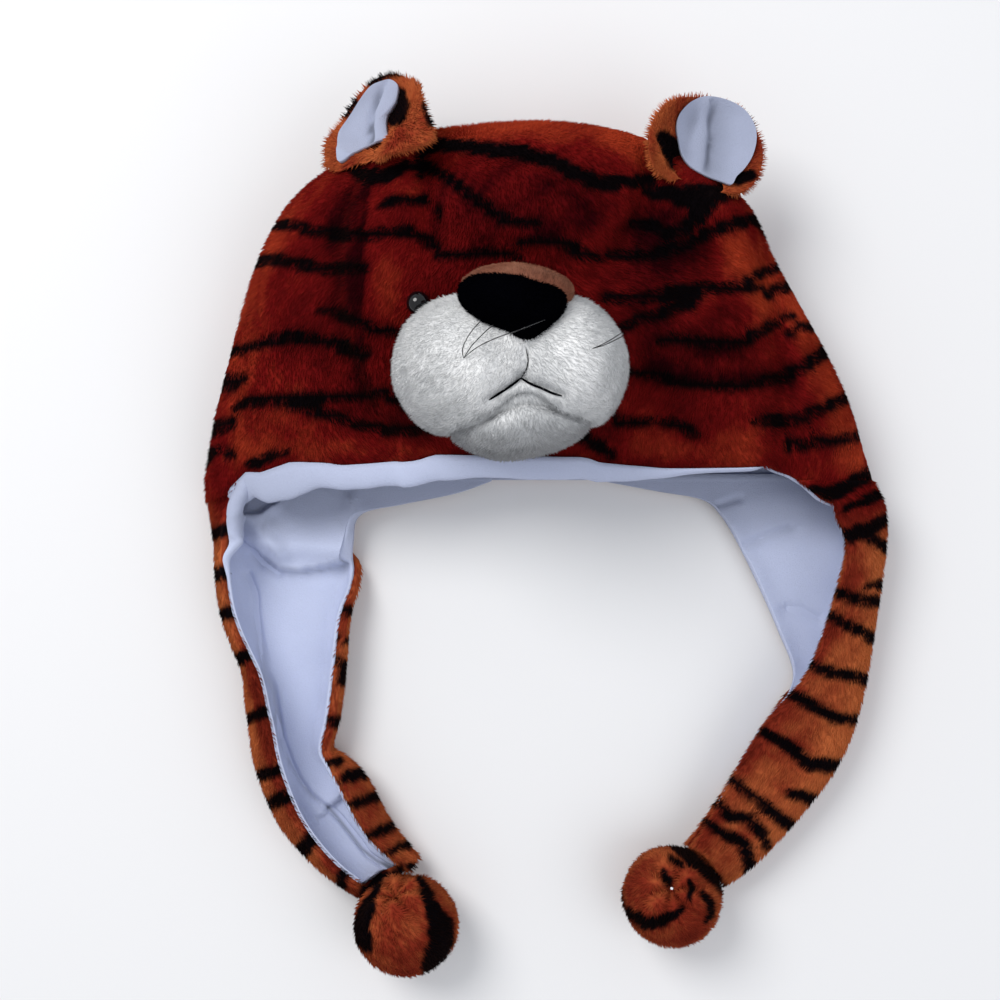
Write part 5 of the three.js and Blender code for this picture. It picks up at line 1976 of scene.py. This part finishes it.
# Painted shade on the left flap's fleece, along its creases and under its folds: each a line, its half width,
# softness and how much darker it makes the fleece.
LEFT_CREASES = (
    (((262, 668), (270, 705), (279, 738), (289, 761), (303, 786), (315, 799), (328, 807)), 0.2, 1.1, 0.3),
    (((328, 807), (337, 817), (349, 832), (362, 849), (377, 861), (398, 871)), 0.5, 1.2, 0.62),
    (((328, 808), (337, 801), (345, 793)), 0.2, 1.1, 0.4),
    (((266, 557), (284, 569), (301, 572), (321, 570), (339, 566), (356, 559)), 0.5, 2.2, 0.2),
    (((268, 516), (262, 530), (268, 545), (280, 560)), 0.3, 1.6, 0.16),
)
RIGHT_FOLDS = (
    (((716, 512), (737, 538), (752, 572), (770, 618), (786, 660)), 6, 6, 2.6),
    (((740, 499), (719, 505)), 2, 2, -1.6),
    (((745, 545), (765, 536), (790, 528)), 2, 5, -1.6),
    (((788, 608), (803, 611), (819, 618)), 2, 4, -1.6),
)
LEFT_EAR = {
    "outline": ((324, 168), (322, 150), (328, 132), (338, 120), (347, 105), (358, 90), (371, 77), (386, 71),
                (402, 72), (415, 78), (421, 92), (426, 108), (433, 126), (433, 138), (412, 149), (384, 156),
                (356, 166), (338, 174)),
    "front": ((338, 161), (336.8, 146), (337.5, 137), (340.4, 128.6), (350, 115), (360, 99), (371, 85.5),
              (385.9, 79.5), (393, 80.4), (397.5, 86), (396, 99), (393, 107), (387.7, 113), (385.5, 122),
              (386, 130), (386, 137), (374, 142), (362, 148), (350, 154)),
    "crease": ((386, 88), (381.4, 100), (377.9, 112.5), (376, 126.8), (376, 141)),
    "marks": (((399, 92, 1.6), (401, 104, 3.6), (396, 116, 4.0), (393, 122, 1.6)), ((344, 112, 2.2), (353, 102, 2.2)),
              ((371, 80, 2.2), (385, 71, 3.2), (404, 68, 2.2)), ((424, 104, 0.6), (431, 124, 1.2))),
}
RIGHT_EAR = {
    "outline": ((646, 142), (649, 124), (657, 108), (670, 96.5), (686, 92), (705, 93), (725, 97), (741, 104),
                (752, 114), (760, 128), (766, 144), (767, 160), (762, 177), (752, 190), (735, 196), (700, 192),
                (664, 180), (650, 164)),
    "front": ((679, 116), (685, 107), (694, 100), (706, 96), (722, 98), (737, 104), (748, 113), (755.5, 127),
              (756.5, 141), (752.5, 156), (745, 168), (737, 176), (732, 184), (722, 181), (706, 175), (692, 167),
              (683, 156), (679, 141), (677, 127)),
    "crease": ((709, 106), (705.5, 119), (706, 135), (704, 157), (701.4, 172)),
    "marks": (((664, 137, 2.4), (671, 148, 4.4), (676, 160, 3.4)), ((737, 179, 2.4), (750, 175, 2.4)),
              ((748, 113, 0.6), (755, 126, 0.8))),
}


@dataclass
class Stage:
    """The floor, the light and the camera."""

    eye: tuple[float, float, float] = (-0.021, 0.015, 0.700)
    lens: float = 53.05
    floor: Colour = (0.80, 0.80, 0.81)
    sky: Colour = (0.86, 0.88, 0.92)

    def floor_piece(self) -> None:
        """A wide pale floor."""
        mesh = bpy.data.meshes.new("floor")
        mesh.from_pydata([(-3, -3, 0), (3, -3, 0), (3, 3, 0), (-3, 3, 0)], [], [(0, 1, 2, 3)])
        finish, nodes, shader = blank("pale floor")
        nodes.fill(shader, {"Base Color": (*self.floor, 1), "Roughness": 0.9})
        mesh.materials.append(finish)
        hold("floor", mesh)

    def light(self, name: str, place: tuple, size: float, watts: float, colour: Colour) -> None:
        """A soft light that shines at the middle of the hat."""
        lamp = bpy.data.lights.new(name, "AREA")
        lamp.shape, lamp.size, lamp.energy, lamp.color = "DISK", size, watts, colour
        made = hold(name, lamp)
        made.location = place
        made.rotation_euler = (Vector((0, 0, 0)) - Vector(place)).to_track_quat("-Z", "Y").to_euler()

    def camera(self) -> None:
        """The camera, straight above the hat."""
        lens = bpy.data.cameras.new("camera")
        lens.lens, lens.sensor_width, lens.clip_start = self.lens, 36.0, 0.01
        made = hold("camera", lens)
        made.location = self.eye
        bpy.context.scene.camera = made

    def build(self) -> None:
        """Makes the stage."""
        self.camera()
        self.floor_piece()
        self.light("key", (-0.75, 0.75, 1.25), 0.9, 16.5, (1.0, 0.99, 0.97))
        self.light("fill", (0.9, -0.5, 1.3), 1.3, 5.5, (0.95, 0.97, 1.0))
        sky = bpy.data.worlds.new("sky")
        sky.use_nodes = True
        Nodes(sky.node_tree).fill(sky.node_tree.nodes["Background"], {"Color": (*self.sky, 1), "Strength": 0.68})
        bpy.context.scene.world = sky
        bpy.context.scene.view_settings.view_transform = "Standard"


def main() -> None:
    """Builds the hat round its frame."""
    logging.basicConfig(level=logging.INFO, format="%(name)s: %(message)s")
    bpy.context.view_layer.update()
    Stage().build()
    finishes = {slot: finish.material() for slot, finish in FINISHES.items()}
    kit = Kit(pile_tree(), thread_tree(), finishes, Ground())
    Crown().build(kit)
    pompoms = (Pompom("pompom_left", -43, -195, (-0.25, 0.85, 0.45), POMPOM_LEFT_STRIPES, 501, 1.06),
               Pompom("pompom_right", 79, -182, (-0.11, 0.4, 0.9), POMPOM_RIGHT_STRIPES, 502))
    flaps = (Flap("flap_left", FLAP_LEFT, -1, 8.0, LEFT_FOLDS, bare_from=-31, creases=LEFT_CREASES,
                  cuff=((-60, 0.4), (-37, 0.9), (-28, 1.8), (-20, 3.0), (-10, 3.8), (2, 3.8), (8, 3.4))),
             Flap("flap_right", FLAP_RIGHT, 1, 0.0, RIGHT_FOLDS, bare_from=-92))
    for flap, pompom in zip(flaps, pompoms):
        cutters = pompom.cutter(-1.2), pompom.cutter(24.0 if flap.side > 0 else 5.0)
        flap.build(kit, *cutters)
        gone(*cutters)
        pompom.build(kit)
    for ear in (Ear("ear_left", 1, (-49, 167, 52), (-14, -34, -12), **LEFT_EAR,
                    roots=((-57, 155, 41, 15, 8, 8), (-42, 153, 56, 8, 7, 13))),
                Ear("ear_right", -1, (88, 156, 50), (-14, 8, -24), **RIGHT_EAR, tone=0.68,
                    creases=((((715, 112), (715, 135), (712, 168)), 3, 9, 0.36),))):
        ear.build(kit)
    Face().build(kit)
    gone(kit.ground.form)


if __name__ == "__main__":
    main()
